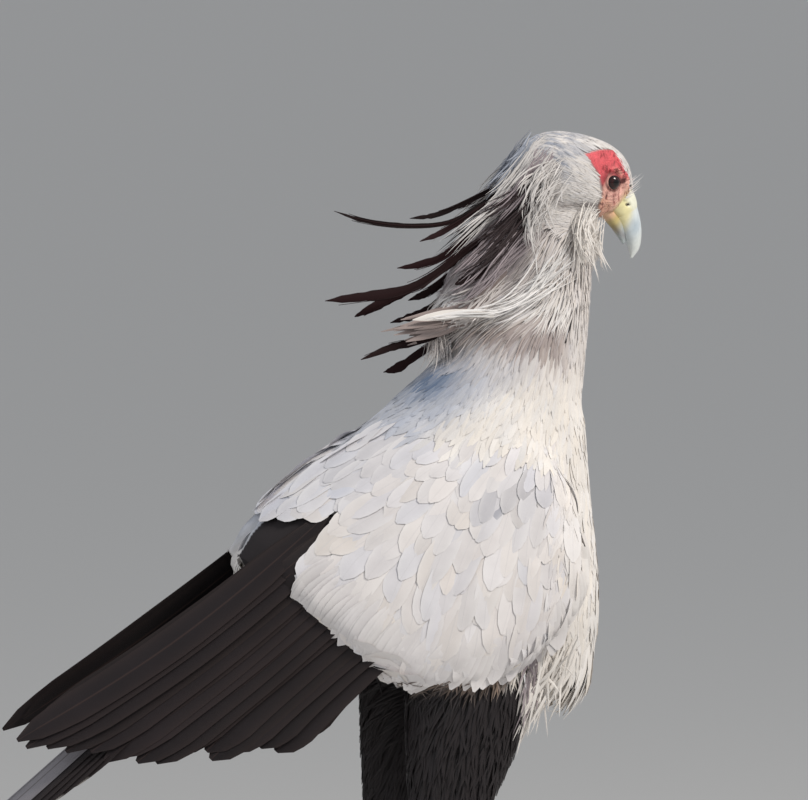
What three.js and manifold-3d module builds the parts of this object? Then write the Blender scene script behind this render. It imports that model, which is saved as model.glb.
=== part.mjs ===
// Secretary bird, standing, life size: a still model in millimetres, +Z up, facing +X, its left side at +Y.
import * as THREE from "three";
import { mergeVertices } from "three/addons/utils/BufferGeometryUtils.js";
import Module from "manifold-3d";

const wasm = await Module();
wasm.setup();

// Driving dimensions, mm and degrees.
const gap = 0.32; // between touching pieces
const headAt = [161, 10, 1145]; // midpoint between the eyes
const headPitch = 32; // bill down from level
const headYaw = 14; // turned to the bird's left
const eyeRadius = 11.6;
const eyeSide = 18.4; // eyeball centre from the head's midline
const legSide = 54; // leg from the body's midline
const ankle = { x: -54, z: 338 };
const footForward = -22; // foot joint from the body's origin along X
const legStagger = 14; // right leg ahead of the middle, left leg behind it by this
const tarsusRadius = 8.2;
const soleCut = 2.2; // depth of the flat cut under pads and toes
const tailSlope = 40.5; // tail below level
const streamerLength = 648;
const remexCount = 8;
const rectrixPairs = 6; // the first pair is the streamers
const plateThick = 2.4; // folded flight feathers, as one plate
const plumeThick = 0.8; // half thickness of a crest plume

const rad = THREE.MathUtils.degToRad;
const lerp = THREE.MathUtils.lerp;
const vec = ([x, y, z]) => new THREE.Vector3(x, y, z);
const curve = (list) => new THREE.CatmullRomCurve3(list.map(vec), false, "catmullrom", 0.5);
const flat = ([x, z]) => [x, 0, z];

// A value table read at t from 0 to 1, with a smooth line through its entries.
function table(values) {
  const line = curve(values.map((v, i) => [i, v, 0]));
  return (t) => line.getPoint(t).y;
}

// A sphere whose rings and columns are laid on a shape: place(t, across, upward) gives each point.
function wrap(sides, rings, place) {
  const ball = new THREE.SphereGeometry(1, sides, rings);
  const uv = ball.attributes.uv;
  const position = ball.attributes.position;
  for (let i = 0; i < position.count; i++) {
    const v = 1 - uv.getY(i);
    const t = 0.45 * v + 0.275 * (1 - Math.cos(Math.PI * v));
    const pole = v < 1e-6 || v > 1 - 1e-6;
    const a = 2 * Math.PI * (uv.getX(i) % 1);
    const p = pole ? place(t, 0, 0) : place(t, Math.cos(a), Math.sin(a));
    position.setXYZ(i, p.x, p.y, p.z);
  }
  return solid(ball);
}

// A three.js geometry as a solid, its faces turned outwards.
function solid(geometry) {
  const bare = new THREE.BufferGeometry().setAttribute("position", geometry.attributes.position);
  if (geometry.index) bare.setIndex(geometry.index);
  const merged = mergeVertices(bare, 1e-3);
  const triVerts = new Uint32Array(merged.index.array);
  const vertProperties = new Float32Array(merged.attributes.position.array);
  const make = () => new wasm.Manifold(new wasm.Mesh({ numProp: 3, vertProperties, triVerts }));
  const made = make();
  if (made.volume() > 0) return made;
  for (let i = 0; i < triVerts.length; i += 3)
    [triVerts[i + 1], triVerts[i + 2]] = [triVerts[i + 2], triVerts[i + 1]];
  return make();
}

// How full a body is at t, so that both ends close as domes that take up the shares in ends.
function dome(t, ends) {
  const near = Math.min(1, t / ends[0]);
  const far = Math.min(1, (1 - t) / ends[1]);
  return Math.sqrt(Math.max(0, 1 - (1 - near) ** 2)) * Math.sqrt(Math.max(0, 1 - (1 - far) ** 2));
}

// The share of a grown body's growth that goes along its line, at the two ends.
const outward = (t, size) => (t < 0.5 ? -1 : 1) * (1 - size);

// A body between two outlines with a half width at each station; full sets where its widest level lies.
function loft({ top, low, half, full = 0.5, sides = 20, rings = 16, ends = [0.1, 0.1], grow = 0 }) {
  const upper = curve(top);
  const lower = curve(low);
  const width = table(half);
  const level = (t) => upper.getPoint(t).lerp(lower.getPoint(t), 1 - full);
  return wrap(sides, rings, (t, across, upward) => {
    const mid = level(t);
    const along = level(Math.min(1, t + 0.01)).sub(level(Math.max(0, t - 0.01))).normalize();
    const axis = upper.getPoint(t).sub(lower.getPoint(t));
    const length = axis.length();
    axis.normalize();
    const side = new THREE.Vector3().crossVectors(along, axis).normalize();
    const size = dome(t, ends);
    const reach = upward > 0 ? (1 - full) * length : full * length;
    return mid
      .addScaledVector(along, outward(t, size) * grow)
      .addScaledVector(side, across * (width(t) * size + grow * Math.sqrt(size)))
      .addScaledVector(axis, upward * (reach * size + grow * Math.sqrt(size)));
  });
}

// A body along a path with an oval section: wide across it, deep along the direction called up.
function sweep({ path, wide, deep, up = [0, 0, 1], sides = 10, rings = 10, ends = [0.06, 0.06], grow = 0 }) {
  const line = curve(path);
  const w = table(wide);
  const d = table(deep);
  return wrap(sides, rings, (t, across, upward) => {
    const along = line.getTangent(t);
    const side = new THREE.Vector3().crossVectors(along, vec(up)).normalize();
    const over = new THREE.Vector3().crossVectors(side, along).normalize();
    const size = dome(t, ends);
    return line.getPoint(t)
      .addScaledVector(along, outward(t, size) * grow)
      .addScaledVector(side, across * (w(t) * size + grow * Math.sqrt(size)))
      .addScaledVector(over, upward * (d(t) * size + grow * Math.sqrt(size)));
  });
}

// A solid back as a three.js geometry.
function geometryOf(whole) {
  const mesh = whole.getMesh();
  const points = new Float32Array(mesh.numVert * 3);
  for (let i = 0; i < mesh.numVert; i++)
    points.set(mesh.vertProperties.subarray(i * mesh.numProp, i * mesh.numProp + 3), i * 3);
  return new THREE.BufferGeometry()
    .setAttribute("position", new THREE.BufferAttribute(points, 3))
    .setIndex(new THREE.BufferAttribute(new Uint32Array(mesh.triVerts), 1));
}

const join = (list) => list.reduce((a, b) => a.add(b));
const cut = (a, ...tools) => tools.reduce((whole, tool) => whole.subtract(tool), a);
const largest = (whole) =>
  whole.decompose().reduce((best, body) => (body.volume() > best.volume() ? body : best));
const moved = (list, by) => list.map((p) => p.map((v, i) => v + by[i]));

// A big block whose lower face passes through a point, with its upright axis along a direction.
function above(point, direction) {
  const size = 4000;
  const box = new THREE.BoxGeometry(size, size, size).translate(0, 0, size / 2);
  const turn = new THREE.Quaternion().setFromUnitVectors(new THREE.Vector3(0, 0, 1),
    vec(direction).normalize());
  return solid(box.applyQuaternion(turn).translate(...point));
}

// The head's own axes: x along the level of the mouth, y to its left, z to its crown.
const headTurn = new THREE.Quaternion()
  .setFromAxisAngle(new THREE.Vector3(0, 0, 1), rad(headYaw))
  .multiply(new THREE.Quaternion().setFromAxisAngle(new THREE.Vector3(0, 1, 0), rad(headPitch)));
const onHead = (p) => vec(p).applyQuaternion(headTurn).add(vec(headAt)).toArray();
const profile = (list) => list.map(([x, z]) => onHead([x, 0, z]));

const skull = (grow = 0) =>
  loft({
    top: profile([[40, 6], [30, 19], [12, 35], [-14, 39], [-42, 33], [-70, 22], [-93, 5], [-108, -24]]),
    low: profile([[36, -24], [26, -33], [10, -44], [-8, -56], [-30, -66], [-52, -72], [-74, -74],
      [-94, -66]]),
    half: [13, 18, 24, 29, 32, 33, 29, 20],
    full: 0.55,
    ends: [0.1, 0.16],
    sides: 14,
    rings: 13,
    grow,
  });

const neckBody = (grow = 0) =>
  loft({
    top: [[-36, 0, 900], [-22, 0, 945], [6, 1, 985], [28, 2, 1030], [34, 4, 1080], [40, 6, 1125],
      [62, 8, 1165]],
    low: [[122, 0, 850], [135, 0, 905], [140, 0, 955], [145, 1, 1010], [149, 3, 1060], [152, 6, 1095],
      [150, 8, 1125]],
    half: [64, 56, 47, 40, 36, 34, 30],
    sides: 14,
    rings: 9,
    ends: [0.08, 0.2],
    grow,
  });

const torso = (grow = 0) =>
  loft({
    top: [[0, 970], [-44, 936], [-90, 896], [-132, 860], [-168, 827], [-200, 794], [-226, 764], [-250, 734],
      [-270, 710]].map(flat),
    low: [[134, 930], [140, 868], [145, 800], [153, 735], [156, 672], [140, 602], [60, 586], [-70, 596],
      [-190, 655]].map(flat),
    half: [46, 60, 73, 80, 83, 82, 76, 60, 36],
    full: 0.5,
    sides: 20,
    rings: 14,
    ends: [0.06, 0.12],
    grow,
  });

const flesh = (grow = 0) => join([torso(grow), neckBody(grow), skull(grow)]);

// The folded wing's shield of coverts on one side.
const shield = (s, grow = 0) =>
  loft({
    top: [[92, 66, 858], [30, 40, 902], [-50, 26, 908], [-120, 20, 872], [-182, 18, 830], [-236, 20, 780],
      [-282, 26, 732]].map(([x, y, z]) => [x, s * y, z]),
    low: [[128, 86, 770], [112, 92, 690], [60, 96, 628], [-20, 96, 602], [-90, 92, 604], [-150, 80, 650],
      [-196, 62, 690]].map(([x, y, z]) => [x, s * y, z]),
    half: [20, 35, 43, 45, 40, 30, 16],
    sides: 14,
    rings: 10,
    ends: [0.14, 0.12],
    grow,
  });

// Upper leg with its breeches of feathers.
const breeches = (s, grow = 0) => {
  const x = -s * legStagger;
  const y = s * legSide;
  const front = [[74, 676], [66, 620], [46, 552], [18, 488], [-12, 430], [-32, 382], [-42, 346]];
  const back = [[-88, 664], [-88, 606], [-86, 548], [-84, 492], [-80, 436], [-74, 388], [-66, 350]];
  return loft({
    top: front.map(([px, pz]) => [px + x, y, pz]),
    low: back.map(([px, pz]) => [px + x, y, pz]),
    half: [40, 42, 36, 28, 21, 16, 11],
    sides: 12,
    rings: 9,
    ends: [0.1, 0.06],
    grow,
  });
};

// Bare lower leg from the ankle joint to the foot joint.
const shank = (s, grow = 0) => {
  const x = -s * legStagger;
  const y = s * legSide;
  const line = [0, 0.06, 0.16, 0.5, 0.86, 0.95, 1].map((t) => [
    lerp(ankle.x, footForward, t) + x, y, lerp(ankle.z + 14, 20, t)]);
  return sweep({
    path: line,
    wide: [12, 15, 9.4, tarsusRadius, 9, 12, 11],
    deep: [13, 17, 12, 10, 10.5, 13, 11],
    up: [1, 0, 0],
    sides: 8,
    rings: 10,
    ends: [0.05, 0.05],
    grow,
  });
};

// Toes as [name, heading in degrees from forward, length, thickness].
const toes = [["inner", 32, 56, 8], ["middle", 2, 68, 8.8], ["outer", -30, 54, 8], ["hind", 176, 30, 7]];

function toeLine(s, [, heading, length, thick]) {
  const a = rad(-s * heading);
  const at = [footForward - s * legStagger, s * legSide];
  const point = (r, z) => [at[0] + r * Math.cos(a), at[1] + r * Math.sin(a), z];
  return { point, length, thick };
}

const foot = (s, grow = 0) => {
  const at = [footForward - s * legStagger, s * legSide];
  const pads = toes.map((toe) => {
    const { point, length, thick } = toeLine(s, toe);
    const low = thick - soleCut;
    return sweep({
      path: [point(-2, low + 6), point(length * 0.3, low + 1), point(length * 0.62, low),
        point(length, low - 0.6)],
      wide: [thick + 1, thick, thick * 0.95, thick * 0.8],
      deep: [thick + 1, thick, thick * 0.95, thick * 0.72],
      sides: 6,
      rings: 6,
      ends: [0.2, 0.14],
      grow,
    });
  });
  const joint = sweep({
    path: [[at[0], at[1], 0.5], [at[0], at[1], 12], [at[0] - 1.5, at[1], 26], [at[0] - 2.5, at[1], 34]],
    wide: [11, 14, 12.6, 10],
    deep: [12, 15, 13, 11],
    up: [1, 0, 0],
    sides: 8,
    rings: 6,
    ends: [0.3, 0.3],
    grow,
  });
  return join([...pads, joint]).intersect(above([0, 0, 0], [0, 0, 1]));
};

const claw = (s, toe, grow = 0) => {
  const { point, length, thick } = toeLine(s, toe);
  const long = toe[0] === "hind" ? 17 : 19;
  return sweep({
    path: [point(length - 6, thick * 0.95), point(length + long * 0.3, thick * 1.02),
      point(length + long * 0.72, thick * 0.72), point(length + long, 1.9)],
    wide: [4.4, 3.8, 2.6, 1.1],
    deep: [4.8, 4.2, 2.9, 1.2],
    sides: 6,
    rings: 5,
    ends: [0.1, 0.12],
    grow,
  });
};

// The bill's upper half from the face to its hook, and the lower half under it.
const upperBill = (grow = 0) =>
  loft({
    top: profile([[20, 12], [39, 8], [54.8, -5.2], [65, -15], [73, -26], [78.6, -39], [77.4, -52]]),
    low: profile([[12, -26], [24, -25], [38, -28.5], [52, -36], [63.5, -43], [70.5, -49], [75.2, -54.5]]),
    half: [15, 13.5, 12, 10.6, 8.4, 5, 1.6],
    full: 0.42,
    sides: 12,
    rings: 11,
    ends: [0.05, 0.06],
    grow,
  });

const lowerBill = (grow = 0) =>
  loft({
    top: profile([[6, -18], [22, -18], [38, -21], [50, -27], [61, -38]]),
    low: profile([[8, -37], [22, -36], [37, -39], [49, -43], [59, -46.5]]),
    half: [15, 13.4, 11.4, 9.4, 5],
    full: 0.6,
    sides: 10,
    rings: 8,
    ends: [0.06, 0.2],
    grow,
  });

const eyeball = (s, radius) =>
  solid(new THREE.SphereGeometry(radius, 12, 8).rotateX(Math.PI / 2).applyQuaternion(headTurn)
    .translate(...onHead([0, s * eyeSide, 0])));

// One flight feather's outline in a plane, from root to tip [u, v] with its half width, as a flat prism.
function vane(root, tip, width, grow = 0) {
  const length = Math.hypot(tip[0] - root[0], tip[1] - root[1]);
  const edge = [[-grow, 0.4], [length * 0.4, 0.95], [length - 1.5 * width, 1], [length - 0.6 * width, 0.8],
    [length + grow, 0.25]].map(([u, w]) => new THREE.Vector2(u, w * width + grow));
  const under = edge.map(({ x, y }) => new THREE.Vector2(x, -y)).reverse();
  const depth = plateThick + 2 * grow;
  const turn = Math.atan2(tip[1] - root[1], tip[0] - root[0]);
  return solid(new THREE.ExtrudeGeometry(new THREE.Shape([...edge, ...under]), { depth, bevelEnabled: false })
    .rotateZ(turn).translate(root[0], root[1], -depth / 2));
}

// Joins vanes in their own plane, then lays the plate at a corner with its u axis and v axis along two directions.
function plate(vanes, corner, uAxis, vAxis) {
  const u = vec(uAxis).normalize();
  const normal = new THREE.Vector3().crossVectors(u, vec(vAxis)).normalize();
  const v = new THREE.Vector3().crossVectors(normal, u);
  const place = new THREE.Matrix4().makeBasis(u, v, normal).setPosition(vec(corner));
  return solid(geometryOf(join(vanes)).applyMatrix4(place));
}

// Folded flight feathers of one wing, fanned from the long upper ones to the short lower ones.
const remexPlate = (s) => {
  const vanes = Array.from({ length: remexCount }, (_, i) => {
    const t = i / (remexCount - 1);
    const root = [lerp(0, 8, t), lerp(0, -150, t)];
    const tip = [lerp(366, 152, t ** 1.3), lerp(8, -168, t) - 12 * Math.sin(Math.PI * t)];
    return vane(root, tip, lerp(22, 27, t));
  });
  return plate(vanes, [-196, s * 60, 764], [-290, -s * 20, -213], [-100, -s * 40, 122]);
};

const remiges = (s) =>
  join([
    remexPlate(s),
    loft({
      top: [[-190, 58, 782], [-250, 50, 738], [-320, 46, 684],
        [-390, 44, 630]].map(([x, y, z]) => [x, s * y, z]),
      low: [[-100, 78, 664], [-150, 74, 616], [-235, 62, 582],
        [-340, 50, 570]].map(([x, y, z]) => [x, s * y, z]),
      half: [12, 10, 7, 3],
      sides: 6,
      rings: 5,
      ends: [0.1, 0.1],
    }),
  ]);

// The tail: a base and two plates laid as a low roof, with the two long streamers along its ridge.
const tailRoot = [-226, 0, 716];
const tailDown = [-Math.cos(rad(tailSlope)), 0, -Math.sin(rad(tailSlope))];
const tailPlate = (s, grow) => {
  const vanes = Array.from({ length: rectrixPairs }, (_, k) => {
    const long = k === 0 ? streamerLength : lerp(450, 310, (k - 1) / (rectrixPairs - 2));
    const side = 15 + 3 * k;
    const spread = rad(k === 0 ? 0.5 : 0.7 + 0.9 * k);
    const tip = [long * Math.cos(spread), -s * (side + long * Math.sin(spread))];
    return vane([0, -s * side], tip, k === 0 ? 21 : 23, grow);
  });
  return plate(vanes, tailRoot, tailDown, [0, -1, s * 0.34]);
};

const tailFeathers = (grow = 0) =>
  join([
    tailPlate(1, grow),
    tailPlate(-1, grow),
    loft({
      top: [[-190, 736], [-240, 716], [-300, 670], [-350, 626]].map(flat),
      low: [[-150, 672], [-210, 660], [-280, 628], [-344, 598]].map(flat),
      half: [34, 42, 44, 32],
      sides: 10,
      rings: 7,
      ends: [0.1, 0.2],
      grow,
    }),
  ]);

// Crest plumes on the nape: [root, way points, tip] as [x, z], then the sideways drift, vane width and side.
const plumes = [
  { path: [[78, 1160], [24, 1123], [-16, 1102], [-64, 1099], [-110, 1105], [-145, 1116]], y: [0, -22],
    wide: 4.6 },
  { path: [[72, 1156], [20, 1128], [-20, 1110], [-52, 1105]], y: [8, 22], wide: 4.8 },
  { path: [[68, 1150], [12, 1115], [-26, 1093], [-54, 1083]], y: [-12, -40], wide: 5 },
  { path: [[76, 1128], [32, 1108], [2, 1086], [-26, 1066], [-54, 1057], [-78, 1054]], y: [-14, -34],
    wide: 6.4 },
  { path: [[66, 1108], [10, 1078], [-42, 1042], [-78, 1028], [-114, 1024], [-160, 1020]],
    y: [-18, -46], wide: 9 },
  { path: [[60, 1100], [4, 1066], [-46, 1036], [-84, 1018], [-104, 1009], [-122, 1001]], y: [-4, -20],
    wide: 8.4 },
  { path: [[50, 1086], [0, 1050], [-32, 1026], [-56, 1016]], y: [6, 12], wide: 6.4 },
  { path: [[64, 1080], [28, 1052], [0, 1042], [-16, 1036]], y: [-26, -44], wide: 7 },
  { path: [[46, 1036], [4, 1000], [-24, 984], [-60, 973], [-86, 967], [-118, 955]], y: [-16, -34], wide: 7 },
  { path: [[44, 1024], [0, 982], [-34, 965], [-66, 944], [-84, 938]], y: [4, 10], wide: 7.4 },
  { path: [[52, 1064], [6, 1034], [-30, 1004], [-70, 990]], y: [18, 40], wide: 7 },
];
const crest = ({ path, y, wide }) =>
  sweep({
    path: path.map(([x, z], i) => [x, lerp(y[0], y[1], i / (path.length - 1)), z]),
    wide: [wide * 0.4, wide * 0.45, wide * 0.8, wide, wide * 0.85, wide * 0.25],
    deep: [plumeThick * 1.3, plumeThick * 1.1, plumeThick, plumeThick, plumeThick, plumeThick],
    up: [0.3, 1, 0.25],
    sides: 4,
    rings: 8,
    ends: [0.03, 0.05],
  });

// Pale hackles blown back from the neck, as one ragged wedge behind it.
const mane = (grow = 0) =>
  join([
    loft({
      top: [[54, 0, 1136], [22, -1, 1104], [2, -2, 1070], [-16, -3, 1036], [-22, -3, 1000], [-12, -2, 968]],
      low: [[80, 0, 1110], [62, 0, 1080], [52, 0, 1050], [44, 0, 1014], [40, 0, 980], [40, 0, 950]],
      half: [12, 20, 24, 25, 24, 18],
      full: 0.7,
      sides: 8,
      rings: 8,
      ends: [0.12, 0.12],
      grow,
    }),
    sweep({
      path: [[60, -30, 1000], [10, -40, 1001], [-24, -44, 1001], [-54, -50, 999]],
      wide: [8, 8, 6, 3],
      deep: [1.6, 1.4, 1.2, 1],
      up: [0, 1, 0.2],
      sides: 6,
      rings: 6,
      grow,
    }),
    sweep({
      path: [[50, -18, 1036], [0, -26, 1006], [-40, -34, 990], [-78, -40, 980]],
      wide: [14, 15, 14, 5],
      deep: [1.8, 1.5, 1.3, 1],
      up: [0, 1, 0.3],
      sides: 6,
      rings: 6,
      grow,
    }),
  ]);

// Colours by material slot.
const colours = {
  feather_grey: 0xc9c3bd, feather_black: 0x231c1e, bill_horn: 0xb9c4c9, cere_skin: 0xd8cf86,
  eye_dark: 0x2a1610, leg_scales: 0xb98f86, claw_horn: 0x2f2b29,
};
const root = new THREE.Group();

// Adds a solid's largest body to the group as a named mesh.
function add(name, slot, whole) {
  const geometry = geometryOf(largest(whole));
  geometry.computeVertexNormals();
  const made = new THREE.Mesh(geometry, new THREE.MeshStandardMaterial({ color: colours[slot], name: slot }));
  made.name = name;
  root.add(made);
}

const whole = flesh();
const wider = flesh(gap);
const neckUp = [0.33, 0, 0.94];
const headCut = [0, 0, 1090];
const trunkCut = [55, 0, 925];
const both = [[-1, "right"], [1, "left"]];
const sockets = both.map(([s]) => eyeball(s, eyeRadius + gap));
const beak = join([upperBill(gap), lowerBill(gap)]);
const overHead = above(headCut, [0, 0, 1]);
const overHeadLess = above(moved([headCut], [0, 0, -gap])[0], [0, 0, 1]);
const overTrunk = above(trunkCut, neckUp);
const overTrunkLess = above(moved([trunkCut], [0, 0, -gap])[0], neckUp);
add("head", "feather_grey", cut(whole.intersect(overHead), ...sockets, beak));
add("neck", "feather_grey", cut(whole.intersect(overTrunk), overHeadLess));
const legs = both.map(([s]) => breeches(s, gap));
add("trunk", "feather_grey", cut(whole, overTrunkLess, ...legs));

// The cere is the bill's part next to the face; the horn starts in front of it.
const cereEnd = above(onHead([45, 0, 0]), vec([0.86, 0, 0.1]).applyQuaternion(headTurn).toArray());
const hornStart = above(onHead([45 + gap, 0, 0]), vec([0.86, 0, 0.1]).applyQuaternion(headTurn).toArray());
const faceStart = above(onHead([15, 0, 0]), vec([1, 0, 0]).applyQuaternion(headTurn).toArray());
add("cere", "cere_skin", cut(upperBill().intersect(faceStart), cereEnd));
add("bill_upper", "bill_horn", upperBill().intersect(hornStart));
add("bill_lower", "bill_horn", cut(lowerBill().intersect(faceStart), upperBill(gap)));

const tail = tailFeathers(gap);
const tools = (s) => join([wider, shield(s, gap), tail]);
for (const [s, side] of both) {
  const shieldCut = cut(shield(s), wider, above([0, s * 0.2, 0], [0, -s, 0]), breeches(s, gap), tail);
  add("wing_" + side, "feather_grey", shieldCut);
  add("remiges_" + side, "feather_black", cut(remiges(s), tools(s), breeches(s, gap)));
  add("thigh_" + side, "feather_black", cut(breeches(s), shank(s, gap)));
  add("tarsus_" + side, "leg_scales", cut(shank(s), foot(s, gap)));
  const nails = toes.map((toe) => [toe[0], claw(s, toe)]);
  add("foot_" + side, "leg_scales", cut(foot(s), ...toes.map((toe) => claw(s, toe, gap))));
  for (const [name, nail] of nails) add("claw_" + name + "_" + side, "claw_horn", nail);
  add("eye_" + side, "eye_dark", eyeball(s, eyeRadius));
}
add("tail", "feather_black", cut(tailFeathers(), wider));

// The mane is cut by the neck, and the plumes by both.
add("mane", "feather_grey", cut(mane(), wider));
const behind = join([wider, mane(gap)]);
plumes.forEach((plume, i) =>
  add("crest_" + String(i + 1).padStart(2, "0"), "feather_black", cut(crest(plume), behind)));

// The row's origin is the middle of the bounding box, on the floor.
const box = new THREE.Box3().setFromObject(root);
const centre = box.getCenter(new THREE.Vector3());
root.children.forEach((mesh) => mesh.geometry.translate(-centre.x, -centre.y, 0));

export default root;
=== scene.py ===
import bpy, bmesh, math
import numpy as np
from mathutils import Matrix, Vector
from mathutils.bvhtree import BVHTree


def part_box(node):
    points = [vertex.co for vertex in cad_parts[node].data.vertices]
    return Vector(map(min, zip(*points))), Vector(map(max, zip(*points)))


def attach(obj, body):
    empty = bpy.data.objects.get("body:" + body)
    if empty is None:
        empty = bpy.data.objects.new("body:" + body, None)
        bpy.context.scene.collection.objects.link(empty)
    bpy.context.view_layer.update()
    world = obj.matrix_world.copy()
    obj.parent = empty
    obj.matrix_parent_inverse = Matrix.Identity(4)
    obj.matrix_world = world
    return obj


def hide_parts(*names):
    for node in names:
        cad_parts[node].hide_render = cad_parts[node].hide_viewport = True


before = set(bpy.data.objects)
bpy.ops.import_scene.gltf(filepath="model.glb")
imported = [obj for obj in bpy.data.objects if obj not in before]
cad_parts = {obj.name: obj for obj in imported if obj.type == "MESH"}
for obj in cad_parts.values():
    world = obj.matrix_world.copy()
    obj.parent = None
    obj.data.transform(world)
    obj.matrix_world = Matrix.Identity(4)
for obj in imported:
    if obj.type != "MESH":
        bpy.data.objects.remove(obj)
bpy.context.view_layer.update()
scene = bpy.context.scene
print("frame loaded")

# everything below is worked out in millimetres in the bird's own axes: x towards the bill, y to its left, z up
eyeLow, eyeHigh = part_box("eye_right")
eyeAhead = 0.16545  # m, the middle of the right eye in those axes
shift = np.array([(eyeLow.x + eyeHigh.x) / 2 - eyeAhead, 0, 0])
sides = ((-1, "right"), (1, "left"))  # the sign of y on each side


def toScene(points):
    return np.asarray(points, float) * 0.001 + shift


def toBird(points):
    return (np.asarray(points, float) - shift) * 1000


def ease(low, high, value):
    t = np.clip((value - low) / (high - low), 0, 1)
    return t * t * (3 - 2 * t)


def between(t, ends):  # straight run between two values
    return np.interp(t, [0, 1], ends)


def unit(v):
    return v / np.maximum(np.linalg.norm(v, axis=-1, keepdims=True), 1e-9)


def srgb(r, g, b):  # 0..255 as seen, to the linear colour the shader wants
    c = np.array([r, g, b], float) / 255
    return np.where(c <= 0.04045, c / 12.92, ((c + 0.055) / 1.055) ** 2.4)


def ripple(p, size, seed=0):  # soft repeatable wobble over space, about -1..1
    p = np.asarray(p, float) / size + seed * 3.7
    x, y, z = p[..., 0], p[..., 1], p[..., 2]
    a = np.sin(x * 1.3 + 1.7 * np.sin(y * 0.9 + 0.4 * z)) * np.sin(y * 1.1 + 1.3 * np.sin(z * 1.2 + x * 0.3))
    b = np.sin(z * 1.7 + 1.1 * np.sin(x * 1.9 + seed)) * np.sin(x * 2.3 + y * 1.9)
    return 0.65 * a + 0.35 * b


# camera, floor and light
cameraSet = dict(azimuth=-12.0, elevation=4.0, distance=8.7, sensor=36.0, acrossPhoto=0.8888, side=-0.0616,
                 height=0.905)
azimuth, elevation = math.radians(cameraSet["azimuth"]), math.radians(cameraSet["elevation"])
camBack = Vector((math.sin(azimuth) * math.cos(elevation), -math.cos(azimuth) * math.cos(elevation),
                  math.sin(elevation)))
camRight = Vector((math.cos(azimuth), math.sin(azimuth), 0))
camUp = camBack.cross(camRight)
cameraData = bpy.data.cameras.new("camera")
cameraData.sensor_width = cameraSet["sensor"]
cameraData.lens = cameraSet["sensor"] * cameraSet["distance"] / cameraSet["acrossPhoto"]
cameraData.clip_end = 400
camera = bpy.data.objects.new("camera", cameraData)
scene.collection.objects.link(camera)
lookAt = camRight * cameraSet["side"] + camUp * cameraSet["height"] + Vector(shift)
camera.location = lookAt + camBack * cameraSet["distance"]
camera.rotation_euler = camBack.to_track_quat("Z", "Y").to_euler()
scene.camera = camera
scene.view_settings.view_transform = "Standard"

lightSet = dict(floorColour=(0.60, 0.59, 0.57), floorSize=160.0, skyColour=(0.92, 0.95, 1.0), skyPower=0.5,
                keyFrom=(2.4, -2.3, 3.2), keySize=1.2, keyPower=160, keyColour=(1.0, 0.955, 0.9),
                fillFrom=(-3.2, -2.0, 1.6), fillSize=2.6, fillPower=20, fillColour=(0.9, 0.95, 1.0))


def softLight(name, start, size, power, colour):
    data = bpy.data.lights.new(name, "AREA")
    data.shape, data.size, data.energy, data.color = "DISK", size, power, colour
    lamp = bpy.data.objects.new(name, data)
    scene.collection.objects.link(lamp)
    target = Vector(shift) + Vector((0, 0, 0.8))
    lamp.location = target + Vector(start)
    lamp.rotation_euler = Vector(start).to_track_quat("Z", "Y").to_euler()


for name in ("key", "fill"):
    softLight(name, *(lightSet[name + part] for part in ("From", "Size", "Power", "Colour")))
world = bpy.data.worlds.new("studio")
world.use_nodes = True
sky = world.node_tree.nodes["Background"].inputs
sky["Color"].default_value = (*lightSet["skyColour"], 1)
sky["Strength"].default_value = lightSet["skyPower"]
scene.world = world
print("camera and light ready")


# mesh and material helpers
def linkMesh(name, mesh):
    made = bpy.data.objects.new(name, mesh)
    scene.collection.objects.link(made)
    return made


def meshFrom(name, points, faces, smooth=True):
    mesh = bpy.data.meshes.new(name)
    points, faces = np.asarray(points, np.float32), np.asarray(faces, np.int32)
    mesh.vertices.add(len(points))
    mesh.vertices.foreach_set("co", points.ravel())
    mesh.loops.add(faces.size)
    mesh.loops.foreach_set("vertex_index", faces.ravel())
    mesh.polygons.add(len(faces))
    mesh.polygons.foreach_set("loop_start", np.arange(len(faces), dtype=np.int32) * faces.shape[1])
    mesh.polygons.foreach_set("use_smooth", np.full(len(faces), smooth))
    mesh.update(calc_edges=True)
    mesh.validate()
    return mesh


def pointColour(mesh, name, colours):
    shade = np.ones((len(colours), 4), np.float32)
    shade[:, :3] = np.clip(colours, 0, 1)
    mesh.attributes.new(name, "FLOAT_COLOR", "POINT").data.foreach_set("color", shade.ravel())


def finishPiece(piece, material, slot, *nodeNames):
    if material:
        piece.data.materials.append(material)
    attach(piece, "root")
    if nodeNames:
        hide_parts(*nodeNames)
    print(piece.name, len(piece.data.polygons), "faces")


def joinInputs(tree, node, inputs):  # a socket is joined, anything else is set
    for label, value in inputs.items():
        if isinstance(value, bpy.types.NodeSocket):
            tree.links.new(value, node.inputs[label])
        else:
            node.inputs[label].default_value = value


def addNode(tree, kind, inputs=None, **fields):
    node = tree.nodes.new(kind)
    for label, value in fields.items():
        setattr(node, label, value)
    joinInputs(tree, node, inputs or {})
    return node


def newMaterial(name):
    material = bpy.data.materials.new(name)
    material.use_nodes = True
    return material, material.node_tree


def setShader(tree, inputs):
    joinInputs(tree, tree.nodes["Principled BSDF"], inputs)


floorMaterial, tree = newMaterial("pale floor")
setShader(tree, {"Base Color": (*lightSet["floorColour"], 1), "Roughness": 0.9})
half = lightSet["floorSize"]
floor = linkMesh("floor", meshFrom("floor", [[-half, -half, 0], [half, -half, 0], [half, half, 0], [-half, half, 0]],
                                   [[0, 1, 2, 3]]))
floor.data.materials.append(floorMaterial)

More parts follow.
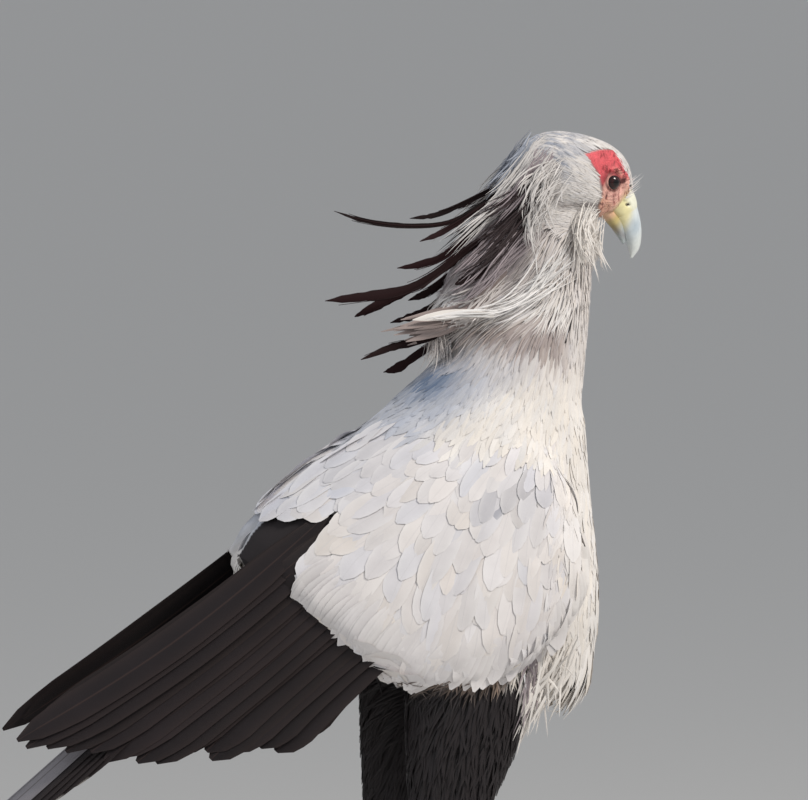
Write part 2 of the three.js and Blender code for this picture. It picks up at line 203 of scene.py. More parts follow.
# the bird's main landmarks
headSet = dict(at=(161, 10, 1145), pitch=32.0, yaw=14.0, eyeSide=18.4, eyeRadius=11.6)
pitch, yaw = math.radians(headSet["pitch"]), math.radians(headSet["yaw"])
turnPitch = np.array([[math.cos(pitch), 0, math.sin(pitch)], [0, 1, 0], [-math.sin(pitch), 0, math.cos(pitch)]])
turnYaw = np.array([[math.cos(yaw), -math.sin(yaw), 0], [math.sin(yaw), math.cos(yaw), 0], [0, 0, 1]])
headTurn = turnYaw @ turnPitch
headAt = np.array(headSet["at"], float)


def headLocal(p):
    return (np.asarray(p, float) - headAt) @ headTurn


def fromHead(p):
    return headAt + np.asarray(p, float) @ headTurn.T


def insideOutline(points, outline):  # distance to a closed outline in the plane, positive inside
    points, outline = np.asarray(points, float), np.asarray(outline, float)
    nearest, inside = np.full(points.shape[:-1], 1e9), np.zeros(points.shape[:-1], bool)
    for a, b in zip(outline, np.roll(outline, -1, axis=0)):
        along = np.clip(((points - a) @ (b - a)) / ((b - a) @ (b - a)), 0, 1)
        nearest = np.minimum(nearest, np.linalg.norm(points - a - along[..., None] * (b - a), axis=-1))
        crosses = (a[1] > points[..., 1]) != (b[1] > points[..., 1])
        atX = a[0] + (points[..., 1] - a[1]) * (b[0] - a[0]) / (b[1] - a[1] if b[1] != a[1] else 1e-9)
        inside ^= crosses & (points[..., 0] < atX)
    return np.where(inside, nearest, -nearest)


faceOutline = [(-46, 8), (-29, 23), (-13, 33), (-3, 31), (10, 22), (24, 14), (40, 6), (60, -20), (60, -60), (30, -42),
               (10, -36), (2, -31), (-3, -19), (-11, -11), (-21, -3), (-31, 1)]  # bare skin in the head's own x and z


def bareFace(local):
    return ease(-1.5, 1.5, insideOutline(local[..., [0, 2]], faceOutline))


cheekLine = [(2, -28), (-20, -43), (-41, -56), (-58, -46), (-61, -37), (-68, -22)]  # shadow round the cheek


def lineGap(points, line):  # distance to an open line in the plane
    gap = np.full(points.shape[:-1], 1e9)
    for a, b in zip(np.array(line[:-1], float), np.array(line[1:], float)):
        t = np.clip((points - a) @ (b - a) / ((b - a) @ (b - a)), 0, 1)
        gap = np.minimum(gap, np.linalg.norm(points - a - t[..., None] * (b - a), axis=-1))
    return gap


def headShare(p):
    local = headLocal(p)
    return ease(-118, -92, local[..., 0]) * ease(-88, -66, local[..., 2]) * ease(1070, 1100, np.asarray(p)[..., 2])


# the outer form and the one skin
skinSet = dict(voxel=3.55, relax=5, faceReach=58.0, eyeReach=40.0, settle=0.35,
               grow=dict(trunk=7.0, wing=7.0, mane=6.0, neck=5.0))  # grown this far, merged, then drawn back in
fleshNodes = (["head", "neck", "trunk", "mane"] + [f"{part}_{side}" for part in ("wing", "thigh", "tarsus", "foot")
                                                   for side in ("left", "right")])


def relaxed(points, edges, times, amount=0.5, hold=None):
    points, count = points.copy(), np.bincount(edges.ravel(), minlength=len(points)).astype(float)
    for _ in range(times):
        total = np.stack([np.bincount(edges[:, 0], points[edges[:, 1], k], len(points)) +
                          np.bincount(edges[:, 1], points[edges[:, 0], k], len(points)) for k in range(3)], 1)
        move = (total / np.maximum(count, 1)[:, None] - points) * amount
        points += move if hold is None else move * hold[:, None]
    return points


def readAll(items, field, wide, kind):
    values = np.empty(len(items) * wide, kind)
    items.foreach_get(field, values)
    return values.reshape(-1, wide)


def meshEdges(mesh):
    return readAll(mesh.edges, "vertices", 2, np.int32)


def meshPoints(mesh):
    return readAll(mesh.vertices, "co", 3, np.float32).astype(float)


def meshNormals(mesh):
    return readAll(mesh.vertex_normals, "vector", 3, np.float32).astype(float)


def movePoints(mesh, points):
    mesh.vertices.foreach_set("co", toScene(points).astype(np.float32).ravel())
    mesh.update()


def smoothAll(mesh):
    mesh.polygons.foreach_set("use_smooth", np.ones(len(mesh.polygons), bool))


def uvMap(mesh, name, perPoint):
    corners = readAll(mesh.loops, "vertex_index", 1, np.int32)[:, 0]
    mesh.uv_layers.new(name=name).data.foreach_set("uv", perPoint[corners].astype(np.float32).ravel())


manePull = float(toScene((-24, 0, 0))[0])


def growOf(name):
    return skinSet["grow"].get(name.split("_")[0], skinSet["settle"])


def grownJoin(names, extra=(), growth=growOf):
    whole = bmesh.new()
    for mesh in extra:
        whole.from_mesh(mesh)
    for name in names:
        piece, grow = bmesh.new(), growth(name)
        piece.from_mesh(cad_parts[name].data)
        bmesh.ops.remove_doubles(piece, verts=piece.verts, dist=1e-6)
        piece.normal_update()
        for v in piece.verts:
            v.co += v.normal * grow * 0.001
            if name == "mane":  # the two loose plumes there are made with the coat
                v.co.x = max(v.co.x, (v.co.x - manePull) * 0.04 + manePull)
                v.co.y = max(min(v.co.y, 0.027), -0.027)
        holder = bpy.data.meshes.new("holder")
        piece.to_mesh(holder)
        piece.free()
        whole.from_mesh(holder)
        bpy.data.meshes.remove(holder)
    mesh = bpy.data.meshes.new("join")
    whole.to_mesh(mesh)
    whole.free()
    return mesh


def applied(made):
    mesh = bpy.data.meshes.new_from_object(made.evaluated_get(bpy.context.evaluated_depsgraph_get()))
    bpy.data.objects.remove(made)
    return mesh


def stations(values, count):  # a smooth run through a short list of values
    values = np.asarray(values, float)
    if values.ndim == 1:
        values = values[:, None]
    t = np.linspace(0, len(values) - 1, count)
    i = np.minimum(t.astype(int), len(values) - 2)
    f = (t - i)[:, None]
    padded = np.vstack([2 * values[0] - values[1], values, 2 * values[-1] - values[-2]])
    a, b, c, d = padded[i], padded[i + 1], padded[i + 2], padded[i + 3]
    run = 0.5 * (2 * b + (c - a) * f + (2 * a - 5 * b + 4 * c - d) * f ** 2 + (3 * b - a - 3 * c + d) * f ** 3)
    return run if run.shape[1] > 1 else run[:, 0]


def loftRings(top, low, half, rings, sides, square=2.0):  # ovals hung between an upper and a lower line
    top, low, half = stations(top, rings), stations(low, rings), stations(half, rings)
    angle = np.linspace(0, 2 * math.pi, sides, endpoint=False)
    c, sn = np.cos(angle), np.sin(angle)
    c, sn = np.sign(c) * np.abs(c) ** (2 / square), np.sign(sn) * np.abs(sn) ** (2 / square)
    middle, reach = (top + low) / 2, (top - low) / 2
    points = np.empty((rings, sides, 3))
    points[..., 0] = middle[:, None, 0] + reach[:, None, 0] * c
    points[..., 2] = middle[:, None, 1] + reach[:, None, 1] * c
    points[..., 1] = half[:, None] * sn
    return points


def ringMesh(name, points, toPlace=toScene):  # closed tube of rings with a point at each end
    rings, sides = points.shape[:2]
    ends = np.stack([points[0].mean(0), points[-1].mean(0)])
    flatPoints = toPlace(np.vstack([points.reshape(-1, 3), ends]))
    work = bmesh.new()
    made = [work.verts.new(p) for p in flatPoints]
    for r in range(rings - 1):
        for k in range(sides):
            work.faces.new([made[r * sides + k], made[r * sides + (k + 1) % sides],
                            made[(r + 1) * sides + (k + 1) % sides], made[(r + 1) * sides + k]])
    for k in range(sides):
        work.faces.new([made[(k + 1) % sides], made[k], made[rings * sides]])
        work.faces.new([made[(rings - 1) * sides + k], made[(rings - 1) * sides + (k + 1) % sides],
                        made[rings * sides + 1]])
    bmesh.ops.recalc_face_normals(work, faces=work.faces)
    for f in work.faces:
        f.smooth = True
    mesh = bpy.data.meshes.new(name)
    work.to_mesh(mesh)
    work.free()
    return mesh


rumpSet = dict(top=[(-150, 748), (-200, 730), (-250, 702), (-300, 662), (-352, 618)],
               low=[(-110, 668), (-190, 668), (-236, 652), (-286, 628), (-344, 600)], half=[30, 34, 34, 30, 14])
rump = ringMesh("rump", loftRings(rumpSet["top"], rumpSet["low"], rumpSet["half"], 16, 24))
rough = linkMesh("rough", grownJoin(fleshNodes + ["eye_left", "eye_right", "cere"], [rump]))
remesh = rough.modifiers.new("remesh", "REMESH")
remesh.mode, remesh.voxel_size, remesh.use_smooth_shade = "VOXEL", skinSet["voxel"] * 0.001, True
outer = applied(rough)
outerPoints, outerPairs = toBird(meshPoints(outer)), meshEdges(outer)
regionNodes = dict(head=["head", "eye_left", "eye_right", "cere"], neck=["neck"], trunk=["trunk"], mane=["mane"],
                   wing=["wing_left", "wing_right"], thigh=["thigh_left", "thigh_right"],
                   leg=["tarsus_left", "tarsus_right", "foot_left", "foot_right"])


def nodeTree(names):
    points, tris = [], []
    for name in names:
        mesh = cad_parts[name].data
        mesh.calc_loop_triangles()
        tris += [[i + len(points) for i in t.vertices] for t in mesh.loop_triangles]
        points += [Vector(p) for p in toBird([v.co for v in mesh.vertices])]
    return BVHTree.FromPolygons(points, tris)


regionTrees = {region: nodeTree(names) for region, names in regionNodes.items()}


def regionGaps(points, grown):
    return np.array([[tree.find_nearest(Vector(p))[3] - (growOf(region) if grown else 0) for p in points]
                     for region, tree in regionTrees.items()])


owner = np.argmin(regionGaps(outerPoints, True), axis=0)
drawIn = np.array([growOf(region) - skinSet["settle"] for region in regionNodes])[owner]
drawIn = relaxed(np.repeat(drawIn[:, None], 3, 1), outerPairs, 12, 0.6)[:, :1]
outerPoints = relaxed(outerPoints, outerPairs, 2, 0.5, np.minimum(drawIn[:, 0], 1))
for _ in range(3):  # in small steps, so that hollows stay filled and edges keep their shape
    movePoints(outer, outerPoints)
    outerPoints = outerPoints - meshNormals(outer) * drawIn / 3
    outerPoints = relaxed(outerPoints, outerPairs, 2, 0.5, np.minimum(drawIn[:, 0] / 3, 1))
legHold = 0.25 + 0.75 * ease(330, 370, outerPoints[:, 2])
outerPoints = relaxed(outerPoints, outerPairs, skinSet["relax"], 0.5, legHold)
movePoints(outer, outerPoints)
print("outer form", len(outerPoints), "points")
outerNormals = meshNormals(outer)
quads = [tuple(p.vertices) for p in outer.polygons]
outerTree = BVHTree.FromPolygons([Vector(p) for p in outerPoints], quads)


farOut = 220  # mm, clear of the wings on either side


def sideHit(x, z, s):  # where the outer form is met from the right (-1) or the left (1)
    return outerTree.ray_cast(Vector((x, s * farOut, z)), Vector((0, -s, 0)))


def coatDepth(p):  # how far the skin lies under the tips of the coat
    local = headLocal(p)
    onHead = ease(-120, -96, local[:, 0]) * ease(-92, -70, local[:, 2])
    depth = 5.0 * ease(336, 372, p[:, 2])
    depth = depth * (1 - onHead) + 1.8 * onHead
    return depth * (1 - bareFace(local) * onHead * ease(10, 30, local[:, 0] + 60))


def refineNear(mesh, centres, reach, cuts=1):
    work = bmesh.new()
    work.from_mesh(mesh)
    near = [f for f in work.faces if min((Vector(f.calc_center_median()) - c).length for c in centres) < reach]
    edges = {e for f in near for e in f.edges}
    bmesh.ops.subdivide_edges(work, edges=list(edges), cuts=cuts, use_grid_fill=True, smooth=0.0)
    bmesh.ops.triangulate(work, faces=[f for f in work.faces if len(f.verts) > 4])
    work.to_mesh(mesh)
    work.free()


skinMesh = outer.copy()
faceCentres = [Vector(toScene(fromHead((10, 0, -6))))]
eyeCentres = [Vector(toScene(fromHead((0, s * headSet["eyeSide"], 0)))) for s in (-1, 1)]
refineNear(skinMesh, faceCentres, skinSet["faceReach"] * 0.001)
refineNear(skinMesh, eyeCentres, skinSet["eyeReach"] * 0.001)
skinPoints = toBird(meshPoints(skinMesh))
skinEdges = meshEdges(skinMesh)
nearFace = 1 - ease(50, 66, np.linalg.norm(headLocal(skinPoints) - [10, 0, -6], axis=1))
skinPoints = relaxed(skinPoints, skinEdges, 8, 0.5, nearFace)
movePoints(skinMesh, skinPoints)
skinNormals = meshNormals(skinMesh)
depth = coatDepth(skinPoints)
skinPoints = skinPoints - skinNormals * depth[:, None]

# lids, brow and the folds of the bare face
lidSet = dict(halfLong=9.6, halfUp=7.4, halfDown=8.4, rim=0.8, sink=2.4, forward=10.0,
              browLine=[(-13, 8), (-7, 12.5), (2, 14), (10, 12), (17, 5)], browHigh=1.9, browWide=2.6, foldHigh=0.24,
              foldGap=2.9)
local = headLocal(skinPoints)
bare = bareFace(local) * headShare(skinPoints)
flat = local[:, [0, 2]]
brow = lineGap(flat, lidSet["browLine"])
eyeGap = np.hypot(flat[:, 0], flat[:, 1])
foldTurns = eyeGap / lidSet["foldGap"] + 0.9 * ripple(local, 8, 3)
folds = np.sin(2 * math.pi * foldTurns) * ease(7, 11, eyeGap) * (1 - ease(22, 34, eyeGap))
pebbles = ripple(local, 1.5, 7) * ease(12, 18, eyeGap)
swell = (lidSet["browHigh"] * np.exp(-(brow / lidSet["browWide"]) ** 2) + lidSet["foldHigh"] * folds * bare +
         0.3 * pebbles * bare)
swell -= 0.9 * np.exp(-((brow - 4.6) / 1.3) ** 2) * (flat[:, 1] > flat[:, 0] * 0.1) * bare * (eyeGap < 17)
aside = ease(8, 16, np.abs(local[:, 1]))
swell -= 3.0 * ease(21, 28, local[:, 0]) * headShare(skinPoints)
underCere = ease(21, 28, local[:, 0]) * headShare(skinPoints)
swell = swell * np.maximum(aside * np.maximum(bare, 0.0), underCere)
skinPoints = skinPoints + skinNormals * swell[:, None]
for s in (-1, 1):
    centre = fromHead((0, s * headSet["eyeSide"], 0))
    look = math.radians(lidSet["forward"])
    axis = np.array([math.sin(look), s * math.cos(look), 0]) @ headTurn.T
    ahead = np.array([math.cos(look), -s * math.sin(look), 0]) @ headTurn.T
    above = np.array([0, 0, 1.0]) @ headTurn.T
    q = skinPoints - centre
    a, b, out, r = q @ ahead, q @ above, q @ axis, np.linalg.norm(q, axis=1)
    long = lidSet["halfLong"] * (1 + 0.22 * ease(0, 1, a / 7) * np.exp(-(b / 3) ** 2))
    e = np.sqrt((a / long) ** 2 + (b / np.where(b > 0, lidSet["halfUp"], lidSet["halfDown"])) ** 2)
    near = (r < 30) & (out > -2)
    rim = headSet["eyeRadius"] + lidSet["rim"] * (1 + 0.5 * ease(0, 5, b))
    wanted = rim - (lidSet["rim"] + lidSet["sink"]) * (1 - ease(0.84, 0.98, e))
    blend = 1 - ease(1.12, 1.6, e)
    scale = 1 + (wanted / np.maximum(r, 1e-6) - 1) * blend
    skinPoints = np.where(near[:, None], centre + q * scale[:, None], skinPoints)
skinPoints[:, 2] = np.maximum(skinPoints[:, 2], 0)
movePoints(skinMesh, skinPoints)
skin = linkMesh("skin", skinMesh)
finishPiece(skin, None, "feather_grey", *fleshNodes)

# where things are on the outer form
faceIndex = np.array(quads)
corner = outerPoints[faceIndex]
faceAt = corner.mean(1)
faceX, faceAside, faceHigh = faceAt[:, 0], np.abs(faceAt[:, 1]), faceAt[:, 2]
faceUp = unit(outerNormals[faceIndex].mean(1))
faceArea = 0.5 * (np.linalg.norm(np.cross(corner[:, 1] - corner[:, 0], corner[:, 2] - corner[:, 0]), axis=1) +
                  np.linalg.norm(np.cross(corner[:, 2] - corner[:, 0], corner[:, 3] - corner[:, 0]), axis=1))
regionNames = list(regionNodes) + ["rump"]
gaps = regionGaps(faceAt, False)
gaps = np.vstack([gaps, np.where((gaps.min(0) > 5) & (faceX < -185), 0.0, 99.0)])
faceRegion = np.argmin(gaps, axis=0)
print("regions found")


def regionIs(*names):
    return np.isin(faceRegion, [regionNames.index(n) for n in names])


def surfaceAt(points):
    near, face = np.empty(points.shape), np.empty(len(points), int)
    for i, p in enumerate(points):
        hit = outerTree.find_nearest(Vector(p))
        near[i], face[i] = hit[0], hit[2]
    return near, faceUp[face], face


# the lie of the coat: places on the right half and which way the feathers there point
lieGuides = [((150, 0, 1060), (.05, 0, -1)), ((112, 36, 1070), (-.4, 0, -.92)), ((60, 30, 1070), (-.72, 0, -.7)),
             ((140, 0, 1000), (0, 0, -1)), ((60, 38, 1008), (-.95, .1, -.32)), ((20, 30, 1012), (-1, 0, -.3)),
             ((112, 40, 1008), (-.5, 0, -.86)), ((100, 45, 966), (-.2, 0, -1)), ((52, 40, 966), (-.35, 0, -1)),
             ((20, 30, 962), (-.5, 0, -.86)), ((135, 0, 880), (.05, 0, -1)), ((90, 70, 880), (-.3, .1, -1)),
             ((40, 60, 900), (-.55, .1, -.8)), ((-20, 20, 930), (-.78, 0, -.6)), ((-110, 20, 880), (-.82, 0, -.55)),
             ((-220, 20, 785), (-.8, 0, -.6)), ((-280, 20, 720), (-.76, 0, -.65)), ((150, 0, 750), (0, 0, -1)),
             ((140, 40, 640), (0, 0, -1)), ((120, 80, 700), (-.05, 0, -1)), ((60, 96, 630), (-.05, 0, -1)),
             ((60, 90, 780), (-.15, 0, -1)), ((0, 95, 800), (-.5, 0, -.85)), ((0, 100, 700), (-.15, 0, -1)),
             ((-60, 95, 720), (-.28, 0, -.96)), ((-90, 95, 640), (-.3, 0, -.95)), ((-130, 85, 710), (-.42, 0, -.9)),
             ((-60, 60, 850), (-.86, 0, -.5)), ((-110, 80, 796), (-.86, 0, -.52)), ((-180, 60, 770), (-.84, 0, -.55)),
             ((40, 70, 860), (-.5, 0, -.86)), ((0, 0, 590), (-.9, 0, -.4)), ((-150, 0, 640), (-.95, 0, -.1)),
             ((0, 55, 500), (-.12, 0, -1)), ((-40, 55, 400), (-.1, 0, -1))]
guideAt = np.array([g[0] for g in lieGuides], float)
guideWay = unit(np.array([g[1] for g in lieGuides], float))


def lieAt(p, normal):
    p = np.asarray(p, float)
    folded = p * [1, 0, 1] + np.abs(p) * [0, 1, 0]
    reach = 1 / (((folded[:, None, :] - guideAt[None]) ** 2).sum(-1) + 500) ** 2
    way = (reach[:, :, None] * guideWay[None]).sum(1) / reach.sum(1)[:, None]
    way[:, 1] *= np.sign(p[:, 1])
    local = headLocal(p)
    away = unit(local - [54, 0, -4] + 1e-6) + [-0.55, 0, -0.12]
    share = headShare(p)[:, None]
    way = unit(way) * (1 - share) + unit(away) @ headTurn.T * share
    way -= (way * normal).sum(1)[:, None] * normal
    return unit(way)


cellsAround = [(dx, dy, dz) for dx in (-1, 0, 1) for dy in (-1, 0, 1) for dz in (-1, 0, 1)]


def scatter(mask, spacing, seed):  # roots spread evenly over part of the outer form
    rng = np.random.default_rng(seed)
    weight = faceArea * mask
    count = int(weight.sum() / spacing ** 2 * 3.2)
    face = rng.choice(len(weight), count, p=weight / weight.sum())
    a, b = rng.random((2, count, 1))
    c = corner[face]
    points = (c[:, 0] * (1 - a) + c[:, 1] * a) * (1 - b) + (c[:, 3] * (1 - a) + c[:, 2] * a) * b
    places, kept, cells, limit = points.tolist(), [], {}, (spacing * 0.86) ** 2
    for i, (x, y, z) in enumerate(np.floor(points / spacing).astype(int).tolist()):
        p = places[i]
        near = (q for dx, dy, dz in cellsAround for q in cells.get((x + dx, y + dy, z + dz), ()))
        if not any((p[0] - q[0]) ** 2 + (p[1] - q[1]) ** 2 + (p[2] - q[2]) ** 2 < limit for q in near):
            kept.append(i)
            cells.setdefault((x, y, z), []).append(p)
    return points[kept], faceUp[face[kept]]


def perRoot(value, roots):  # a setting is one value, or worked out from the place
    return value(roots) if callable(value) else np.full(len(roots), float(value))


def tracePaths(roots, normals, lengths, steps, cling, lie, sway, seed):  # walks along the lie of the coat
    rng = np.random.default_rng(seed + 900)
    path, ups = [roots], [normals]
    turn = rng.normal(0, 1, len(roots)) * sway
    way = lieAt(roots, normals)
    side = np.cross(way, normals)
    way = unit(way + side * turn[:, None])
    step = (lengths / (steps - 1))[:, None]
    position, normal = roots, normals
    for k in range(1, steps):
        ahead = position + way * step
        near, up, _ = surfaceAt(ahead)
        hold = perRoot(cling, ahead)
        ahead = ahead + (near - ahead) * hold[:, None]
        normal = unit(normal * (1 - hold[:, None]) + up * hold[:, None])
        fresh = lieAt(ahead, normal)
        going = unit(ahead - position)
        way = unit(going * (1 - lie) + (fresh + np.cross(fresh, normal) * turn[:, None]) * lie)
        position = ahead
        path.append(position)
        ups.append(normal)
    return np.stack(path, 1), np.stack(ups, 1)


bakeSet = dict(cells=290, patch=0.003, legTop=352, legAt=0.815, legWide=0.095)
spineLine = np.array([(180, 1150), (120, 1160), (62, 1120), (88, 1030), (84, 950), (30, 850), (-60, 780), (-160, 730),
                      (-300, 690)], float)


def bakePlace(p):  # where a root falls on the skin laid flat: along the spine and round it
    flat = np.asarray(p)[:, [0, 2]]
    best, place, run = np.full(len(flat), 1e9), np.zeros((len(flat), 2)), 0.0
    total = np.linalg.norm(np.diff(spineLine, axis=0), axis=1).sum()
    for a, b in zip(spineLine[:-1], spineLine[1:]):
        long = np.linalg.norm(b - a)
        t = np.clip(((flat - a) @ (b - a)) / long ** 2, 0, 1)
        off = flat - a - t[:, None] * (b - a)
        gap = np.linalg.norm(off, axis=1)
        across = off[:, 0] * (b - a)[1] / long - off[:, 1] * (b - a)[0] / long
        angle = np.arctan2(p[:, 1], across) / (2 * math.pi) + 0.5
        closer = gap < best
        best = np.where(closer, gap, best)
        place[closer] = np.stack([(run + t * long) / total, angle * 0.8], 1)[closer]
        run += long
    leg, left = p[:, 2] < bakeSet["legTop"], p[:, 1] > 0
    turn = np.arctan2(p[:, 1] - np.where(left, 54, -54), p[:, 0] + 38) / (2 * math.pi) + 0.5
    acrossLegs = bakeSet["legAt"] + bakeSet["legWide"] * left + 0.08 * turn
    place[leg] = np.stack([p[:, 2] / bakeSet["legTop"], acrossLegs], 1)[leg]
    return place


def bakeCells(place):  # a free cell of the flat map for every tuft, as near as can be to its own place
    size, taken, reached = bakeSet["cells"], set(), {}
    wanted = np.clip((place * size).astype(int), 2, size - 3)
    cells = np.empty((len(place), 2), int)
    for i, (x, y) in enumerate(wanted):
        block = (x // 3, y // 3)
        ring, found = reached.get(block, 0), None
        while found is None:
            options = [(x + dx, y + dy) for dx in range(-ring, ring + 1) for dy in range(-ring, ring + 1)
                       if max(abs(dx), abs(dy)) == ring]
            found = next((c for c in options if c not in taken and 1 < c[0] < size - 2 and 1 < c[1] < size - 2), None)
            ring += 1
        reached[block] = max(ring - 2, 0)
        taken.add(found)
        cells[i] = found
    return cells / size


def buildBlades(name, path, up, halfWidth, colours, arch, thick, cup, bakeRoots=None):  # closed four-sided vanes
    path, up, halfWidth, colours = (np.asarray(values, float) for values in (path, up, halfWidth, colours))
    count, rings = path.shape[:2]
    tangent = unit(np.gradient(path, axis=1))
    side = unit(np.cross(tangent, up))
    up = unit(np.cross(side, tangent))
    w = halfWidth[..., None]
    body = np.stack([path - side * w - up * cup * w, path + up * (arch * w + thick * 0.5),
                     path + side * w - up * cup * w, path - up * thick * 0.5], 2)
    points = body.reshape(-1, 3)
    first = (np.arange(count) * rings * 4)[:, None, None]
    ring = (np.arange(rings - 1) * 4)[None, :, None]
    i = np.arange(4)[None, None, :]
    j = (i + 1) % 4
    walls = np.stack([first + ring + i, first + ring + j, first + ring + 4 + j, first + ring + 4 + i],
                     -1).reshape(-1, 4)
    base = np.arange(count)[:, None] * rings * 4
    caps = np.concatenate([base + [[3, 2, 1, 0]], base + (rings - 1) * 4 + [[0, 1, 2, 3]]])
    mesh = meshFrom(name, toScene(points), np.concatenate([walls, caps]))
    pointColour(mesh, "plume", np.repeat(colours.reshape(-1, 3), 4, axis=0))
    onVane = np.stack([np.tile([0, 0.5, 1, 0.5], count * rings),
                       np.tile(np.repeat(np.linspace(0, 1, rings), 4), count)], 1)
    uvMap(mesh, "vane", onVane)
    cell = np.repeat(bakeCells(bakePlace(path[:, 0] if bakeRoots is None else bakeRoots)), rings * 4, axis=0)
    uvMap(mesh, "OFBake", cell + onVane * bakeSet["patch"])
    pair = meshEdges(mesh)
    ring = pair // 4
    ends = (ring[:, 0] == ring[:, 1]) & np.isin(ring[:, 0] % rings, (0, rings - 1))
    rim = ((pair[:, 0] % 4 == pair[:, 1] % 4) & (pair[:, 0] % 2 == 0)) | ends
    mesh.attributes.new("sharp_edge", "BOOLEAN", "EDGE").data.foreach_set("value", rim)
    return linkMesh(name, mesh)


# colours of the bird, shared by skin and coat; a few of them are painted shade
tones = dict(warmWhite=srgb(235, 229, 222), headGrey=srgb(216, 211, 207), neckGrey=srgb(214, 207, 203),
             collarShade=srgb(156, 141, 136), shoulderShadowBlue=srgb(92, 112, 140), shadedBackGrey=srgb(176, 182, 196),
             covertGrey=srgb(222, 217, 217), scapularGrey=srgb(205, 205, 213), fringe=srgb(244, 241, 238),
             ruffleGapShadow=srgb(104, 116, 142), black=srgb(30, 23, 25), maroonBlack=srgb(36, 14, 16),
             neckShade=srgb(158, 146, 149), napeBlue=srgb(172, 177, 188), crownShadowBlue=srgb(130, 137, 152),
             cheekShade=srgb(122, 112, 110), flankBrown=srgb(142, 124, 112), skinRed=srgb(226, 92, 100),
             skinPink=srgb(238, 188, 172), skinOrange=srgb(228, 180, 150), legPink=srgb(204, 166, 152),
             legGrey=srgb(150, 136, 132), cereYellow=srgb(240, 230, 176), lidPale=srgb(240, 190, 170),
             lidDark=srgb(86, 24, 26), hornPale=srgb(226, 230, 226), hornBlue=srgb(178, 194, 206),
             gapeOlive=srgb(198, 180, 118), irisBrown=srgb(50, 16, 15), irisDark=srgb(24, 8, 10),
             clawDark=srgb(58, 50, 50), quill=srgb(62, 46, 42), wornEdge=srgb(72, 56, 50))


def plainTone(name, p):
    return np.broadcast_to(tones[name], np.shape(p))


def blendTone(a, b, t):  # b is a colour or the name of one
    b = tones[b] if isinstance(b, str) else b
    return a * (1 - t[..., None]) + b * t[..., None]


def coatTone(p):
    p = np.asarray(p, float)
    local = headLocal(p)
    tone = plainTone("warmWhite", p).copy()
    x, z = p[..., 0], p[..., 2]
    # the back's own grey, tinted bluer with painted shade over the mantle
    back = ease(-0.2, 0.5, (z - (905 + 0.62 * (x - 20))) / 60) * (1 - ease(960, 1000, z)) * (1 - ease(60, 110, x))
    tone = blendTone(tone, "shadedBackGrey", back * 0.75)
    neck = ease(900, 960, z)
    tone = blendTone(tone, "neckGrey", neck * 0.8)
    # painted shadow on the neck just under the overhanging collar
    shade = ease(948, 970, z + 0.3 * (x - 60)) * (1 - ease(984, 998, z)) * (1 - ease(96, 122, x))
    tone = blendTone(tone, "collarShade", shade * 0.85)
    # painted shadow of the neck cast on the mantle, bluish
    castShadow = np.exp(-((x + 34) / 38) ** 2 - ((z - 930 - 0.3 * (x + 32)) / 19) ** 2)
    tone = blendTone(tone, "shoulderShadowBlue", np.clip(castShadow * (0.85 + 0.4 * ripple(p, 9, 15)), 0, 1))
    # painted shade over the rear half of the upper neck, away from the light
    rear = (1 - ease(30, 104, x - 0.25 * (z - 1060))) * ease(1016, 1036, z)
    tone = blendTone(tone, "neckShade", np.clip(rear * (0.75 + 0.5 * ripple(p * [1, 1, 0.5], 8, 9)), 0, 1))
    collar = np.exp(-((z - 1008 + 0.14 * (x - 60)) / 13) ** 2) * (1 - ease(104, 134, x))
    tone = blendTone(tone, "fringe", collar * 0.8)
    # painted blue shade on the back of the crown, broken into feather streaks
    crown = (1 - ease(-64, -34, local[..., 0])) * ease(-46, -24, local[..., 2] - 0.35 * (local[..., 0] + 60))
    streak = np.clip(0.45 + 0.8 * ripple(local * [0.28, 1, 1], 2.6, 12), 0, 1)
    top = blendTone(plainTone("headGrey", p), "crownShadowBlue", crown * streak * 0.85)
    cheek = np.exp(-(lineGap(local[..., [0, 2]], cheekLine) / 3.4) ** 2)
    top = blendTone(top, "cheekShade", cheek * (0.6 + 0.4 * ripple(local, 4, 13)))
    tone = blendTone(tone, top, headShare(p))
    darkLine = 634 - 88 * ease(24, 78, x) + 8 * ripple(p, 11, 14)
    tone = blendTone(tone, "flankBrown", ease(-4, 22, darkLine + 30 - z) * 0.8 * (1 - ease(24, 54, x)))
    tone = blendTone(tone, "black", ease(-4, 14, darkLine - z) * (1 - ease(100, 124, x)))
    return tone * (1 + 0.04 * ripple(p, 40, 1))[..., None]


# shader groups and feather materials
def nodeGroup(name, kind, inputs, outputs):  # named sockets, each with its type and first value
    tree = bpy.data.node_groups.new(name, kind)
    for way, sockets in (("INPUT", inputs), ("OUTPUT", outputs)):
        for label, (socketType, *value) in sockets.items():
            socket = tree.interface.new_socket(name=label, in_out=way, socket_type="NodeSocket" + socketType)
            if value:
                socket.default_value = value[0]
    return tree, tree.nodes.new("NodeGroupInput"), tree.nodes.new("NodeGroupOutput")


def mathNode(tree, operation, a, b=None, clamp=False):
    inputs = {0: a} if b is None else {0: a, 1: b}
    return addNode(tree, "ShaderNodeMath", inputs, operation=operation, use_clamp=clamp).outputs[0]


def times(tree, a, b, clamp=False):
    return mathNode(tree, "MULTIPLY", a, b, clamp)


def plus(tree, a, b):
    return mathNode(tree, "ADD", a, b)


def minus(tree, a, b, clamp=False):
    return mathNode(tree, "SUBTRACT", a, b, clamp)


def mixNode(tree, blend, factor, a, b):  # 6 and 7 are the node's two colour sockets
    inputs = {"Factor": factor, 6: a, 7: b}
    inputs = {label: (*v[:3], 1) if isinstance(v, (tuple, np.ndarray)) else v for label, v in inputs.items()}
    return addNode(tree, "ShaderNodeMix", inputs, data_type="RGBA", blend_type=blend).outputs[2]


